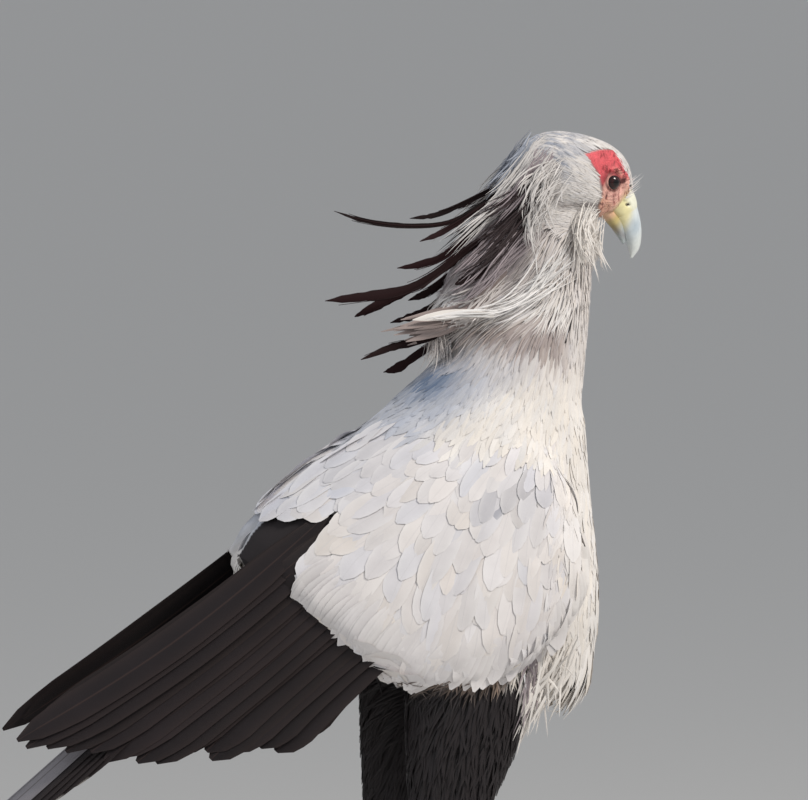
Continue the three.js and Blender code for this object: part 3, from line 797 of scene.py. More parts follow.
def vaneGroup():  # shaft and barbs of a feather, drawn on its own vane map
    tree, given, result = nodeGroup("vane detail", "ShaderNodeTree",
                                    {"Vane": ("Vector", (0, 0, 0)), "Barb Count": ("Float", 34.0),
                                     "Shaft Width": ("Float", 0.05), "Barb Slant": ("Float", 0.5)},
                                    {label: ("Float",) for label in ("Height", "Shaft", "Barb", "Edge")})
    split = addNode(tree, "ShaderNodeSeparateXYZ", {0: given.outputs["Vane"]})
    wobble = addNode(tree, "ShaderNodeTexNoise", {"Vector": given.outputs["Vane"], "Scale": 9})
    off = mathNode(tree, "ABSOLUTE", minus(tree, split.outputs["X"], 0.5))
    slanted = minus(tree, split.outputs["Y"], times(tree, off, given.outputs["Barb Slant"]))
    turns = times(tree, slanted, times(tree, given.outputs["Barb Count"], 6.2832))
    wave = mathNode(tree, "SINE", plus(tree, turns, times(tree, wobble.outputs["Fac"], 5.0)))
    barb = plus(tree, times(tree, wave, 0.5), 0.5)
    shaft = minus(tree, 1.0, mathNode(tree, "DIVIDE", off, given.outputs["Shaft Width"]), True)
    edge = mathNode(tree, "POWER", times(tree, off, 2.0), 3.0)
    height = plus(tree, times(tree, barb, 0.35), shaft)
    joinInputs(tree, result, {"Height": height, "Shaft": shaft, "Barb": barb, "Edge": edge})
    return tree


def driftGroup():  # slow uneven dirt and tint over the body
    tree, given, result = nodeGroup("tone drift", "ShaderNodeTree",
                                    {"Color": ("Color", (1, 1, 1, 1)), "Scale": ("Float", 30.0),
                                     "Amount": ("Float", 0.15)},
                                    {"Color": ("Color",), "Mask": ("Float",)})
    where = addNode(tree, "ShaderNodeTexCoord")
    noise = addNode(tree, "ShaderNodeTexNoise",
                    {"Vector": where.outputs["Object"], "Scale": given.outputs["Scale"], "Detail": 4})
    reach = times(tree, given.outputs["Amount"], 2.0)
    level = plus(tree, times(tree, minus(tree, noise.outputs["Fac"], 0.5), reach), 1.0)
    scaled = addNode(tree, "ShaderNodeVectorMath", {0: given.outputs["Color"], "Scale": level}, operation="SCALE")
    joinInputs(tree, result, {"Color": scaled.outputs[0], "Mask": noise.outputs["Fac"]})
    return tree


vaneDetail, toneDrift = vaneGroup(), driftGroup()


def placeGroup(tree, group, inputs):
    return addNode(tree, "ShaderNodeGroup", inputs, node_tree=group)


def pointTone(tree, name, scale, amount):  # a colour kept on the mesh, with drift over it
    tint = addNode(tree, "ShaderNodeAttribute", attribute_name=name)
    return placeGroup(tree, toneDrift, {"Color": tint.outputs["Color"], "Scale": scale, "Amount": amount})


def addBump(tree, height, strength, distance):
    bump = addNode(tree, "ShaderNodeBump", {"Height": height, "Strength": strength, "Distance": distance})
    setShader(tree, {"Normal": bump.outputs["Normal"]})


def featherMaterial(name, barbs, shaftMix, barbMix, shaftWidth=0.05, shaftTone=(0.8, 0.8, 0.8), edgeMix=0.0,
                    edgeTone=(1, 1, 1), bump=0.25, bumpSize=0.0006, roughness=0.72, sheen=0.25, specular=0.4):
    material, tree = newMaterial(name)
    vane = addNode(tree, "ShaderNodeUVMap", uv_map="vane")
    detail = placeGroup(tree, vaneDetail,
                        {"Vane": vane.outputs["UV"], "Barb Count": barbs, "Shaft Width": shaftWidth})
    drifted = pointTone(tree, "plume", 45.0, 0.12)
    colour = mixNode(tree, "MULTIPLY", times(tree, detail.outputs["Barb"], barbMix), drifted.outputs["Color"],
                     (0.45, 0.43, 0.45))
    colour = mixNode(tree, "MIX", times(tree, detail.outputs["Shaft"], shaftMix), colour, shaftTone)
    if edgeMix:
        colour = mixNode(tree, "MIX", times(tree, detail.outputs["Edge"], edgeMix), colour, edgeTone)
    addBump(tree, detail.outputs["Height"], bump, bumpSize)
    setShader(tree, {"Base Color": colour, "Roughness": roughness, "Specular IOR Level": specular,
                     "Sheen Weight": sheen, "Sheen Roughness": 0.5})
    return material


paleFeather = featherMaterial("pale feather", 14, 0.12, 0.16)
covertFeather = featherMaterial("covert feather", 38, 0.35, 0.12, shaftWidth=0.035, shaftTone=(0.62, 0.60, 0.60),
                                edgeMix=0.3, edgeTone=tones["fringe"])
headFeather = featherMaterial("head feather", 8, 0.1, 0.1, bumpSize=0.0003)
blackFeather = featherMaterial("black feather", 30, 0.3, 0.3, shaftWidth=0.06, shaftTone=tones["maroonBlack"] * 2,
                               roughness=0.55, sheen=0.06)
quillFeather = featherMaterial("flight feather", 150, 0.7, 0.35, shaftWidth=0.045, shaftTone=tones["quill"],
                               edgeMix=0.22, edgeTone=tones["wornEdge"], bump=0.5, roughness=0.6, sheen=0.03,
                               specular=0.25)
crestFeather = featherMaterial("crest feather", 80, 0.5, 0.3, shaftWidth=0.07, shaftTone=tones["maroonBlack"],
                               roughness=0.7, sheen=0.0, specular=0.15)


widthShapes = dict(round=([0, .12, .35, .6, .8, .92, 1], [.3, .62, .95, 1, .86, .58, .14]),
                   lance=([0, .2, .5, .8, 1], [.5, .9, 1, .6, .06]), tuft=([0, .3, .7, 1], [.6, 1, .8, .1]),
                  
                   vane=([0, .05, .2, .5, .85, .95, 1], [.12, .5, .9, 1, .95, .62, .12]))


def profile(kind, along):
    return np.interp(along, *widthShapes[kind])


coatBase = dict(vary=0.2, cling=0.9, lie=0.3, sway=0.12, sink=0.8, ruffle=0.4, liftPower=1.5, roll=0.12, tint=0.012,
                rootShade=0.25, mottle=0.05, arch=0.18, thick=0.5, cup=0.12)  # where a coat says nothing else


def coat(name, roots, normals, settings, tone=None):
    settings = {**coatBase, **settings}
    rng = np.random.default_rng(settings["seed"])
    count, rings = len(roots), settings["rings"]
    along = np.linspace(0, 1, rings)
    length = perRoot(settings["length"], roots) * (1 + rng.uniform(-1, 1, count) * settings["vary"])
    wide = perRoot(settings["width"], roots) * (1 + rng.uniform(-1, 1, count) * 0.15)
    path, up = tracePaths(roots, normals, length, rings, settings["cling"], settings["lie"], settings["sway"],
                          settings["seed"])
    if "hem" in settings:  # cut off where a blade would leave its outline
        inside = ((insideOutline(path[..., [0, 2]], settings["hem"]) > -3) &
                  (insideOutline(path[..., [0, 2]], settings["bare"]) < -1))
        inside &= np.abs(path[..., 1]) > np.abs(roots[:, 1:2]) - 15
        reach = np.clip(inside.cumprod(1).sum(1) / rings * rng.uniform(0.92, 1.12, count), 0.02, 1)
        at = along[None] * reach[:, None] * (rings - 1)
        low = np.minimum(at.astype(int), rings - 2)
        part, row = (at - low)[..., None], np.arange(count)[:, None]
        path = path[row, low] * (1 - part) + path[row, low + 1] * part
        up = unit(up[row, low] * (1 - part) + up[row, low + 1] * part)
        kept = (reach > 0.4) & (insideOutline(roots[:, [0, 2]], settings["bare"]) < -4)
        path, up, roots, wide, count = path[kept], up[kept], roots[kept], wide[kept], int(kept.sum())
    sunk = coatDepth(roots) * settings["sink"]
    lift = perRoot(settings["lift"], roots) * (1 + rng.uniform(-1, 1, count) * settings["ruffle"])
    height = -sunk[:, None] * (1 - along[None]) ** 1.4 + lift[:, None] * along[None] ** settings["liftPower"]
    path = path + up * height[..., None]
    tilt = rng.normal(0, settings["roll"], count)[:, None, None]
    side = np.cross(unit(np.gradient(path, axis=1)), up)
    up = unit(up + side * tilt)
    shade = (tone or coatTone)(path[:, int(rings * 0.6)])
    shade = shade * (1 + rng.normal(0, 1, (count, 1)) * settings["tint"] * np.array([[1.0, 0.2, -1.2]]))
    colours = np.repeat(shade[:, None, :], rings, axis=1)
    darker = 1 - settings["rootShade"] * (1 - along)[None, :, None]
    colours = colours * darker * (1 + rng.normal(0, settings["mottle"], count))[:, None, None]
    return buildBlades(name, path, up, wide[:, None] * profile(settings["shape"], along)[None], colours,
                       settings["arch"], settings["thick"], settings["cup"], roots)


def spreadCoat(name, mask, settings, material, slot, tone=None):
    roots, ups = scatter(mask.astype(float), settings["spacing"], settings["seed"])
    finishPiece(coat(name, roots, ups, settings, tone), material, slot)


def handoff(seed):  # ragged line between two kinds of feather
    return 14 * ripple(faceAt, 17, seed) + 8 * ripple(faceAt, 7, seed + 1)


def bodyLength(p):  # shorter under the wing, long and shaggy at the front of the belly
    x, z = p[:, 0], p[:, 2]
    return 46 - 18 * (1 - ease(630, 690, z)) * (1 - ease(70, 96, x)) + 30 * (1 - ease(640, 700, z)) * ease(86, 112, x)


def hackleLift(p):  # the nape and the foot of the neck stand out
    x, z = p[:, 0], p[:, 2]
    return 0.8 + 8 * (1 - ease(1015, 1080, z)) * (1 - ease(56, 104, x)) + 2 * (1 - ease(40, 110, x))


def hackleCling(p):
    return 0.55 + 0.4 * ease(1000, 1040, p[:, 2]) - 0.3 * (1 - ease(-10, 25, p[:, 0]))


bodyCoat = dict(seed=11, spacing=5.9, length=bodyLength, width=lambda p: 4.8 - 2.2 * (1 - ease(630, 690, p[:, 2])),
                rings=6, shape="round", lift=0.4, sink=0.3, sway=0.16, ruffle=0.9,
                cling=lambda p: 0.9 - 0.8 * (1 - ease(620, 690, p[:, 2])) * ease(80, 104, p[:, 0]), rootShade=0.04,
                mottle=0.03, arch=0.04, cup=0.03, thick=0.3)
hackleCoat = dict(seed=12, spacing=3.3, length=lambda p: 36 + 50 * (1 - ease(50, 124, p[:, 0])), width=1.1, rings=9,
                  shape="lance", lift=hackleLift, sway=0.14, cling=hackleCling, ruffle=0.7, rootShade=0.02,
                  mottle=0.05, vary=0.35, thick=0.35, roll=0.3, liftPower=2.2)
lowNeckCoat = dict(seed=15, spacing=4.4, length=36, width=lambda p: 4.2 - 2.4 * ease(925, 1005, p[:, 2]), rings=6,
                   shape="lance", lift=0.5, ruffle=0.9, sink=0.3, sway=0.12, cling=0.9, rootShade=0.04, mottle=0.03,
                   thick=0.3)
headCoat = dict(seed=13, spacing=1.9, length=16, width=0.95, rings=4, shape="tuft", lift=0.15, sway=0.08, thick=0.22,
                rootShade=0.03, mottle=0.035, sink=0.5)
thighCoat = dict(seed=14, spacing=5.4, length=50, width=2.2, rings=6, shape="lance", lift=2.2, sway=0.18)

local = headLocal(faceAt)
faceMask = bareFace(local) * headShare(faceAt)
headPlaces = headShare(faceAt) > 0.5
spreadCoat("coat_head", headPlaces & (faceMask < 0.3), headCoat, headFeather, "feather_grey")
upperNeck = ~headPlaces & regionIs("neck", "head", "mane", "trunk") & (faceHigh > 1012 + 0.5 * handoff(5))
spreadCoat("coat_hackles", upperNeck, hackleCoat, paleFeather, "feather_grey")
lowerNeck = ~headPlaces & ~upperNeck & (faceHigh > 905 + handoff(6)) & regionIs("neck", "head", "mane", "trunk")
spreadCoat("coat_low_neck", lowerNeck, lowNeckCoat, paleFeather, "feather_grey")
onBody = ~headPlaces & ~upperNeck & ~lowerNeck & regionIs("trunk", "neck", "mane") & ((faceHigh > 668) | (faceX > 74))
spreadCoat("coat_body", onBody, bodyCoat, paleFeather, "feather_grey")
spreadCoat("coat_thighs", regionIs("thigh") & (faceHigh > bakeSet["legTop"]), thighCoat, blackFeather,
           "feather_black")

# wing coverts in rows
covertSet = dict(seed=21, pivot=(125, 1010), nearRow=92.0, farRow=452.0, rowGap=(14.0, 24.0), length=(40.0, 98.0),
                 width=(8.5, 17.0), rings=9, shape="round", sway=0.07, cling=0.9, lift=0.34, vary=0.24, sink=0.3,
                 mottle=0.035, tint=0.02, rootShade=0.0, arch=0.03, cup=0.015, ruffle=1.6, thick=0.16, roll=0.05,
                 fill=13.0)


def rowShare(r):  # 0 at the first row of coverts, 1 at the last
    return (r - covertSet["nearRow"]) / (covertSet["farRow"] - covertSet["nearRow"])


def wingRoots(s):
    rng = np.random.default_rng(covertSet["seed"] + s)
    roots, ups, share = [], [], []
    r, row = covertSet["nearRow"], 0
    while r < covertSet["farRow"]:
        t = rowShare(r)
        wide = between(t, covertSet["width"])
        step = wide * 1.12 / r
        angles = np.arange(math.radians(172), math.radians(292), step) + (row % 2) * step / 2
        for angle in angles:
            a, rr = angle + rng.normal(0, step * 0.09), r + rng.normal(0, 2.4)
            x, z = covertSet["pivot"][0] + rr * math.cos(a), covertSet["pivot"][1] + rr * math.sin(a)
            hit = sideHit(x, z, s)
            if hit[0] is not None and regionNames[faceRegion[hit[2]]] == "wing":
                roots.append(hit[0])
                ups.append(faceUp[hit[2]])
                share.append(t)
        r += between(t, covertSet["rowGap"])
        row += 1
    roots, ups, share = np.array(roots), np.array(ups), np.array(share)
    # anything the rows leave open
    thisWing = (regionIs("wing") & (faceAt[:, 1] * s > 0)).astype(float)
    spare, spareUps = scatter(thisWing, covertSet["fill"], covertSet["seed"] + 5 + s)
    bare = np.array([np.min(np.linalg.norm(roots - p, axis=1)) > 15 for p in spare])
    reach = np.hypot(spare[bare, 0] - covertSet["pivot"][0], spare[bare, 2] - covertSet["pivot"][1])
    share = np.concatenate([share, np.clip(rowShare(reach), 0, 1)])
    return np.vstack([roots, spare[bare]]), np.vstack([ups, spareUps[bare]]), share


wingHem = [(-208, 810), (-206, 757), (-212, 690), (-184, 638), (-124, 608), (-43, 610), (20, 614), (60, 632),
           (96, 660), (124, 720), (140, 800), (140, 960), (-60, 960), (-300, 800), (-300, 740), (-215, 770)]
wedgeOutline = [(-141, 790), (-177, 756), (-197, 739), (-197, 695), (-190, 651), (-264, 652), (-309, 697),
                (-270, 757), (-240, 784), (-197, 787)]  # bare dark quills between scapulars and lower coverts


def wingTone(p):
    x, z = p[..., 0], p[..., 2]
    back = ease(-40, 90, z - (862 + 0.55 * x))
    tone = blendTone(plainTone("covertGrey", p), "scapularGrey", back)
    tone = blendTone(tone, "warmWhite", ease(70, 130, x) * 0.8)
    # painted shade in a ruffled gap among the coverts near the bend, where grey down shows
    ruffle = np.exp(-((x - 36) / 46) ** 2 - ((z - 806 - 0.25 * (x - 36)) / 13) ** 2)
    tone = blendTone(tone, "ruffleGapShadow", np.clip(ruffle * (0.75 + 0.6 * ripple(p * [0.6, 1, 1.8], 7, 4)), 0, 1))
    warm = 0.5 + 0.5 * ripple(p, 21, 8)
    tone = blendTone(tone, "warmWhite", warm * 0.45)
    return tone * (1 + 0.04 * ripple(p, 34, 2))[..., None]


for s, side in sides:
    roots, ups, share = wingRoots(s)
    rowSizes = {key: (lambda p, key=key, t=share: between(t, covertSet[key])) for key in ("length", "width")}
    settings = dict(covertSet, hem=wingHem, bare=wedgeOutline, **rowSizes)
    finishPiece(coat(f"coverts_{side}", roots, ups, settings, wingTone), covertFeather, "feather_grey")

# dark quills in the gap between the scapulars and the lower coverts
tertialSet = dict(seed=25, line=[(-136, 786), (-156, 766), (-180, 740), (-196, 706)], count=9, length=118, width=11.0,
                  rings=10, shape="vane", sway=0.03, cling=0.96, lift=1.3, vary=0.08, sink=0.85, mottle=0.15,
                  rootShade=0.0, arch=0.04, cup=0.02, ruffle=0.5, thick=0.3, roll=0.05)


def tertialTone(p):
    return plainTone("black", p) * (1 + 0.3 * ripple(p, 20, 5))[..., None]


for s, side in sides:
    found = [sideHit(x, z, s) for x, z in stations(tertialSet["line"], tertialSet["count"])]
    found = [hit for hit in found if hit[0] is not None]
    roots, ups = np.array([hit[0] for hit in found]), faceUp[[hit[2] for hit in found]]
    finishPiece(coat(f"tertials_{side}", roots, ups, tertialSet, tertialTone), quillFeather, "feather_black")

# the bend of the wing, and the tufts of the belly under its lower edge
bendCoat = dict(seed=27, spacing=5.2, length=42, width=3.6, rings=6, shape="round", lift=0.4, sink=0.3, sway=0.2,
                cling=0.9, rootShade=0.0, mottle=0.03, arch=0.04, cup=0.03, thick=0.2, ruffle=0.9)
nearBend = ((regionIs("wing") & (faceX > 84 + 0.5 * handoff(8))) |
            (regionIs("trunk") & (np.abs(faceX - 112) < 16) & (faceAside > 48) & (faceHigh > 700) & (faceHigh < 900)))
spreadCoat("coat_bend", nearBend, bendCoat, paleFeather, "feather_grey", wingTone)
bellyCoat = dict(seed=28, spacing=3.7, length=34, width=1.5, rings=6, shape="lance", lift=1.8, sink=0.2, sway=0.35,
                 cling=0.75, rootShade=0.1, mottle=0.09, ruffle=0.8, thick=0.25, tint=0.03, roll=0.3)


outerSide = 62  # mm from the middle plane, beyond it the belly's tufts show from the side


def hemHeight(x):  # the wing's lower edge
    return np.interp(x, [-206, -176, -120, -43, 20, 60, 96], [690, 636, 610, 611, 615, 633, 660])


def bellyTone(p):
    fall = hemHeight(p[..., 0]) - p[..., 2] + 7 * ripple(p, 8, 18)
    shade = plainTone("flankBrown", p) * (1 + 0.35 * ripple(p, 5, 19))[..., None]
    shade = blendTone(shade, "black", ease(4, 24, fall + 0.25 * np.clip(-40 - p[..., 0], 0, 80)))
    shade = blendTone(shade, "warmWhite", ease(22, 48, p[..., 0]))
    return np.where((np.abs(p[..., 1]) > outerSide)[..., None], shade, flankTone(p))


def flankTone(p):
    low = 1 - ease(650, 684, p[..., 2] + 12 * ripple(p, 14, 17))
    brown = low * (1 - ease(18, 46, p[..., 0])) * np.clip(0.55 + 0.6 * ripple(p, 6, 16), 0, 1)
    return blendTone(coatTone(p), "flankBrown", brown * ease(-8, 8, p[..., 2] - 630))


belly = ((regionIs("trunk") & (faceHigh < 676 + 0.6 * handoff(9)) & (faceX < 88)) |
         (regionIs("wing") & (faceHigh < hemHeight(faceX) + 9) & (faceX < 90)))
spreadCoat("coat_belly", belly, bellyCoat, paleFeather, "feather_grey", bellyTone)

# flight feathers of the wings
def straightBlades(name, starts, ends, normals, halfWidth, rings, bow, tone, shape="vane", thick=0.9, arch=0.05,
                   cup=0.05, ragged=0.0, seed=0):
    rng = np.random.default_rng(seed)
    starts, ends, normals = np.asarray(starts, float), np.asarray(ends, float), unit(np.asarray(normals, float))
    along = np.linspace(0, 1, rings)
    path = starts[:, None] + (ends - starts)[:, None] * along[None, :, None]
    way = unit(ends - starts)
    side = np.cross(way, normals)
    path = path + side[:, None] * (np.asarray(bow, float)[:, None] * np.sin(along * math.pi)[None])[..., None]
    wide = np.asarray(halfWidth, float)[:, None] * profile(shape, along)[None]
    wide = wide * (1 + ragged * rng.normal(0, 1, wide.shape))
    colours = tone(path, along)
    return buildBlades(name, path, np.repeat(normals[:, None], rings, 1), wide, colours, arch, thick, cup)


edgeSet = dict(seed=29, line=[(-207, 704), (-190, 684), (-164, 658), (-138, 645), (-118, 627), (-98, 615), (-78, 605),
                              (-30, 603), (20, 609), (56, 626), (88, 650), (110, 690), (120, 740)], count=70,
               inward=60, over=7, half=10.5, rings=9)


def edgeCoverts(s, side):  # covers the rounded lower edge, each feather from well inside to just past it
    rng = np.random.default_rng(edgeSet["seed"] + s)
    rings = edgeSet["rings"]
    along = np.linspace(0, 1, rings)
    paths, ups, colours, wide = [], [], [], []
    for x, z in stations(edgeSet["line"], edgeSet["count"]):
        way = np.array([x - covertSet["pivot"][0], z - covertSet["pivot"][1]])
        way = unit(way / np.linalg.norm(way) + rng.normal(0, 0.05, 2))
        root = np.array([x, z]) - way * edgeSet["inward"] * rng.uniform(0.8, 1.1)
        tip = np.array([x, z]) + way * edgeSet["over"] * rng.uniform(-0.8, 1.2)
        flat = root + (tip - root) * along[:, None]
        hits = [sideHit(q[0], q[1], s) for q in flat]
        onWing = np.array([hit[0] is not None and regionNames[faceRegion[hit[2]]] == "wing" for hit in hits])
        if not onWing[:3].all() or onWing.sum() < 5:
            continue
        aside = np.array([abs(hit[0][1]) if good else 0 for hit, good in zip(hits, onWing)])
        last = len(onWing) - np.argmax(onWing[::-1]) - 1
        aside = np.maximum(aside, aside[last] - 3 * np.arange(rings) / rings)
        aside = aside - 0.6 * (1 - along) + rng.uniform(0.8, 1.8) * along
        paths.append(np.stack([flat[:, 0], s * aside, flat[:, 1]], 1))
        ups.append(np.repeat(unit(np.array([0.0, s, 0]) + 0.25 * faceUp[hits[last][2]])[None], rings, 0))
        wide.append(edgeSet["half"] * rng.uniform(0.85, 1.15) * profile("round", along))
        colours.append(wingTone(paths[-1]) * rng.uniform(0.93, 1.03))
    return buildBlades(f"edge_coverts_{side}", paths, ups, wide, colours, 0.03, 0.2, 0.02)


for s, side in sides:
    finishPiece(edgeCoverts(s, side), covertFeather, "feather_grey")

remexSet = dict(corner=(-196, 60, 764), along=(-290, -20, -213), across=(-100, -40, 122), count=15, rings=18, seed=31,
                under=8)


def remigesFor(s, side):
    rng = np.random.default_rng(remexSet["seed"] + s)
    mirror = np.array([1, s, 1])
    u = unit(np.array(remexSet["along"], float) * mirror)
    normal = unit(np.cross(u, np.array(remexSet["across"], float) * mirror))
    v = np.cross(normal, u)
    outward = normal * np.sign(normal[1] * s)
    corner = np.array(remexSet["corner"], float) * mirror
    starts, ends, ups, wide, bow, layer = [], [], [], [], [], []
    for deck, count, inset in ((0, remexSet["count"], 0.0), (1, remexSet["under"], -6.0)):
        for i in range(count):
            t = i / (count - 1)
            lean = outward * ((0.5 - t) * 12 + inset) + outward * rng.normal(0, 0.4)
            start = corner + u * (8 * t - 46) + v * (-150 * t) + lean * 0.4
            long = between(t ** 1.3, [366, 152]) - deck * 26
            fall = between(t, [8, -168]) - 12 * math.sin(math.pi * t)
            end = corner + u * (long + rng.normal(0, 6)) + v * (fall + rng.normal(0, 3)) + lean
            starts.append(start)
            ends.append(end)
            ups.append(outward + v * (0.24 + rng.normal(0, 0.05)))
            wide.append(between(t, [18, 24]) * rng.uniform(0.94, 1.06))
            bow.append(s * (10 - 18 * t + rng.normal(0, 2)))
    own = rng.uniform(0.6, 1.15, (len(starts), 1, 1))

    def tone(path, along):  # paler to the tips, each feather with a shade of its own
        paler = 1 + 0.25 * (along[None, :, None] - 0.5)
        return plainTone("black", path) * own * paler * (1 + 0.15 * ripple(path, 26, 3))[..., None]

    return straightBlades(f"flight_feathers_{side}", starts, ends, ups, wide, remexSet["rings"], bow, tone,
                          seed=remexSet["seed"])


for s, side in sides:
    finishPiece(remigesFor(s, side), quillFeather, "feather_black", f"remiges_{side}")

# tail
tailSet = dict(root=(-226, 0, 716), slope=40.5, streamer=648, long=(450, 310), rings=26, seed=41)


def tailTone(path, along):
    streamers = np.arange(len(path)) < 2
    band = ease(0.80, 0.83, along) * (1 - ease(0.945, 0.955, along))
    grey = np.broadcast_to(srgb(150, 146, 150), path.shape) * (1.05 - 0.2 * along)[None, :, None]
    dark = plainTone("black", path)
    tip = plainTone("warmWhite", path)
    shade = grey * (1 - band)[None, :, None] + dark * band[None, :, None]
    shade = shade * (1 - ease(0.95, 0.965, along))[None, :, None] + tip * ease(0.95, 0.965, along)[None, :, None]
    outer = dark * (1 - ease(0.93, 0.95, along))[None, :, None] + tip * ease(0.93, 0.95, along)[None, :, None]
    return np.where(streamers[:, None, None], shade, outer)


def tailFeathers():
    down = math.radians(tailSet["slope"])
    u = np.array([-math.cos(down), 0, -math.sin(down)])
    root = np.array(tailSet["root"], float)
    starts, ends, ups, wide, bow = [], [], [], [], []
    for k in range(6):
        for s in (-1, 1):
            across = unit(np.cross(np.cross(u, np.array([0, -1, s * 0.34])), u))
            normal = unit(np.cross(u, across))
            normal *= np.sign(normal[2])
            long = tailSet["streamer"] if k == 0 else between((k - 1) / 4, tailSet["long"])
            spread = math.radians(0.5 if k == 0 else 0.7 + 0.9 * k)
            place = 15 + 3 * k
            starts.append(root + across * (-s * place) - normal * (1.6 * k))
            ends.append(root + u * long * math.cos(spread) * 0.997 - across * s * (place + long * math.sin(spread)) -
                        normal * (2.2 * k))
            ups.append(normal)
            wide.append(19 if k == 0 else 21)
            bow.append(0.0)
    return straightBlades("tail_feathers", starts, ends, ups, wide, tailSet["rings"], bow, tailTone,
                          seed=tailSet["seed"])


finishPiece(tailFeathers(), quillFeather, "feather_black", "tail")
rumpCoat = dict(seed=43, spacing=9.0, length=64, width=9, rings=7, shape="round", lift=1.5, sway=0.1, cling=0.8)
# the rump white with a little of the back's grey and its painted shade
spreadCoat("coat_rump", regionIs("rump"), rumpCoat, paleFeather, "feather_grey",
           lambda p: blendTone(plainTone("warmWhite", p), "shadedBackGrey", np.full(len(p), 0.2)))

def clearance(points):  # the way out of the outer form, and how far out each point is
    near, out, _ = surfaceAt(points)
    return out, ((points - near) * out).sum(1)


def firstPart(path, along, reach):
    return np.stack([np.interp(along * reach, along, path[:, k]) for k in range(3)], 1)


# crest
crestSet = dict(seed=51, rings=26, companions=5, up=(0.3, 1, 0.25), thick=0.7, plumes=[
    ([(78, 1160), (24, 1123), (-16, 1102), (-64, 1099), (-110, 1105), (-145, 1116)], (0, -22), 4.6),
    ([(72, 1156), (20, 1128), (-20, 1110), (-52, 1105)], (8, 22), 4.8),
    ([(68, 1150), (12, 1115), (-26, 1093), (-54, 1083)], (-12, -40), 5.0),
    ([(76, 1128), (32, 1108), (2, 1086), (-26, 1066), (-54, 1057), (-78, 1054)], (-14, -34), 6.4),
    ([(66, 1108), (10, 1078), (-42, 1042), (-78, 1028), (-114, 1024), (-160, 1020)], (-18, -46), 9.0),
    ([(60, 1100), (4, 1066), (-46, 1036), (-84, 1018), (-104, 1009), (-122, 1001)], (-4, -20), 8.4),
    ([(50, 1086), (0, 1050), (-32, 1026), (-56, 1016)], (6, 12), 6.4),
    ([(64, 1080), (28, 1052), (0, 1042), (-16, 1036)], (-26, -44), 7.0),
    ([(46, 1036), (4, 1000), (-24, 984), (-60, 973), (-86, 967), (-118, 955)], (-16, -34), 7.0),
    ([(44, 1024), (0, 982), (-34, 965), (-66, 944), (-84, 938)], (4, 10), 7.4),
    ([(52, 1064), (6, 1034), (-30, 1004), (-70, 990)], (18, 40), 7.0)])


def crestFeathers():
    rng = np.random.default_rng(crestSet["seed"])
    rings = crestSet["rings"]
    along = np.linspace(0, 1, rings)
    inRow = np.stack([np.arange(rings - 1), np.arange(1, rings)], 1)
    paths, ups, wides = [], [], []
    for line, drift, wide in crestSet["plumes"]:
        run = stations(line, rings)
        path = np.stack([run[:, 0], between(along, drift), run[:, 1]], 1)
        up = unit(np.array(crestSet["up"], float) * [1, -1, 1])
        for c in range(1 + crestSet["companions"]):
            reach = 1 if c == 0 else rng.uniform(0.45, 0.97)
            own = firstPart(path, along, reach)
            across = unit(np.cross(unit(np.gradient(own, axis=0)), up))
            slide = 0 if c == 0 else rng.uniform(-1, 1) * wide * 0.85
            own = (own + across * (slide * along ** 0.7)[:, None] +
                   up * (rng.normal(0, 1.2) * along if c else 0 * along)[:, None])
            shape = np.interp(along, [0, .2, .4, .6, .78, .92, 1], [.2, .28, .44, .62, .64, .36, .05])
            half = wide * shape if c == 0 else rng.uniform(0.7, 1.5) * np.interp(along, [0, .5, 1], [.7, 1, .2])
            rough = 1 + (0.04 + 0.09 * along) * rng.normal(0, 1, rings) * (c == 0)
            clear = clearance(own)[1]
            lifted = np.maximum(1.2 - clear, 0) * ease(0.08, 0.3, along) * (np.abs(own[:, 1]) > 6) * (clear > -26)
            lifted = relaxed(np.repeat(lifted[:, None], 3, 1), inRow, 4)[:, :1]
            own = own + np.array([0, np.sign(drift[1]), 0]) * lifted
            paths.append(own)
            ups.append(np.repeat(unit(up + rng.normal(0, 0.12, 3))[None], rings, 0))
            wides.append(np.maximum(half * rough, 0.3))
    shades = 0.7 + 0.25 * rng.normal(0, 0.5, (len(paths), 1, 1))
    colours = tones["maroonBlack"] * shades * np.ones((1, rings, 1)) * (0.8 + 0.4 * along)[None, :, None]
    return buildBlades("crest", paths, ups, wides, np.maximum(colours, 0.004), 0.06, crestSet["thick"], 0.1)


finishPiece(crestFeathers(), crestFeather, "feather_black", *[f"crest_{i:02d}" for i in range(1, 12)])


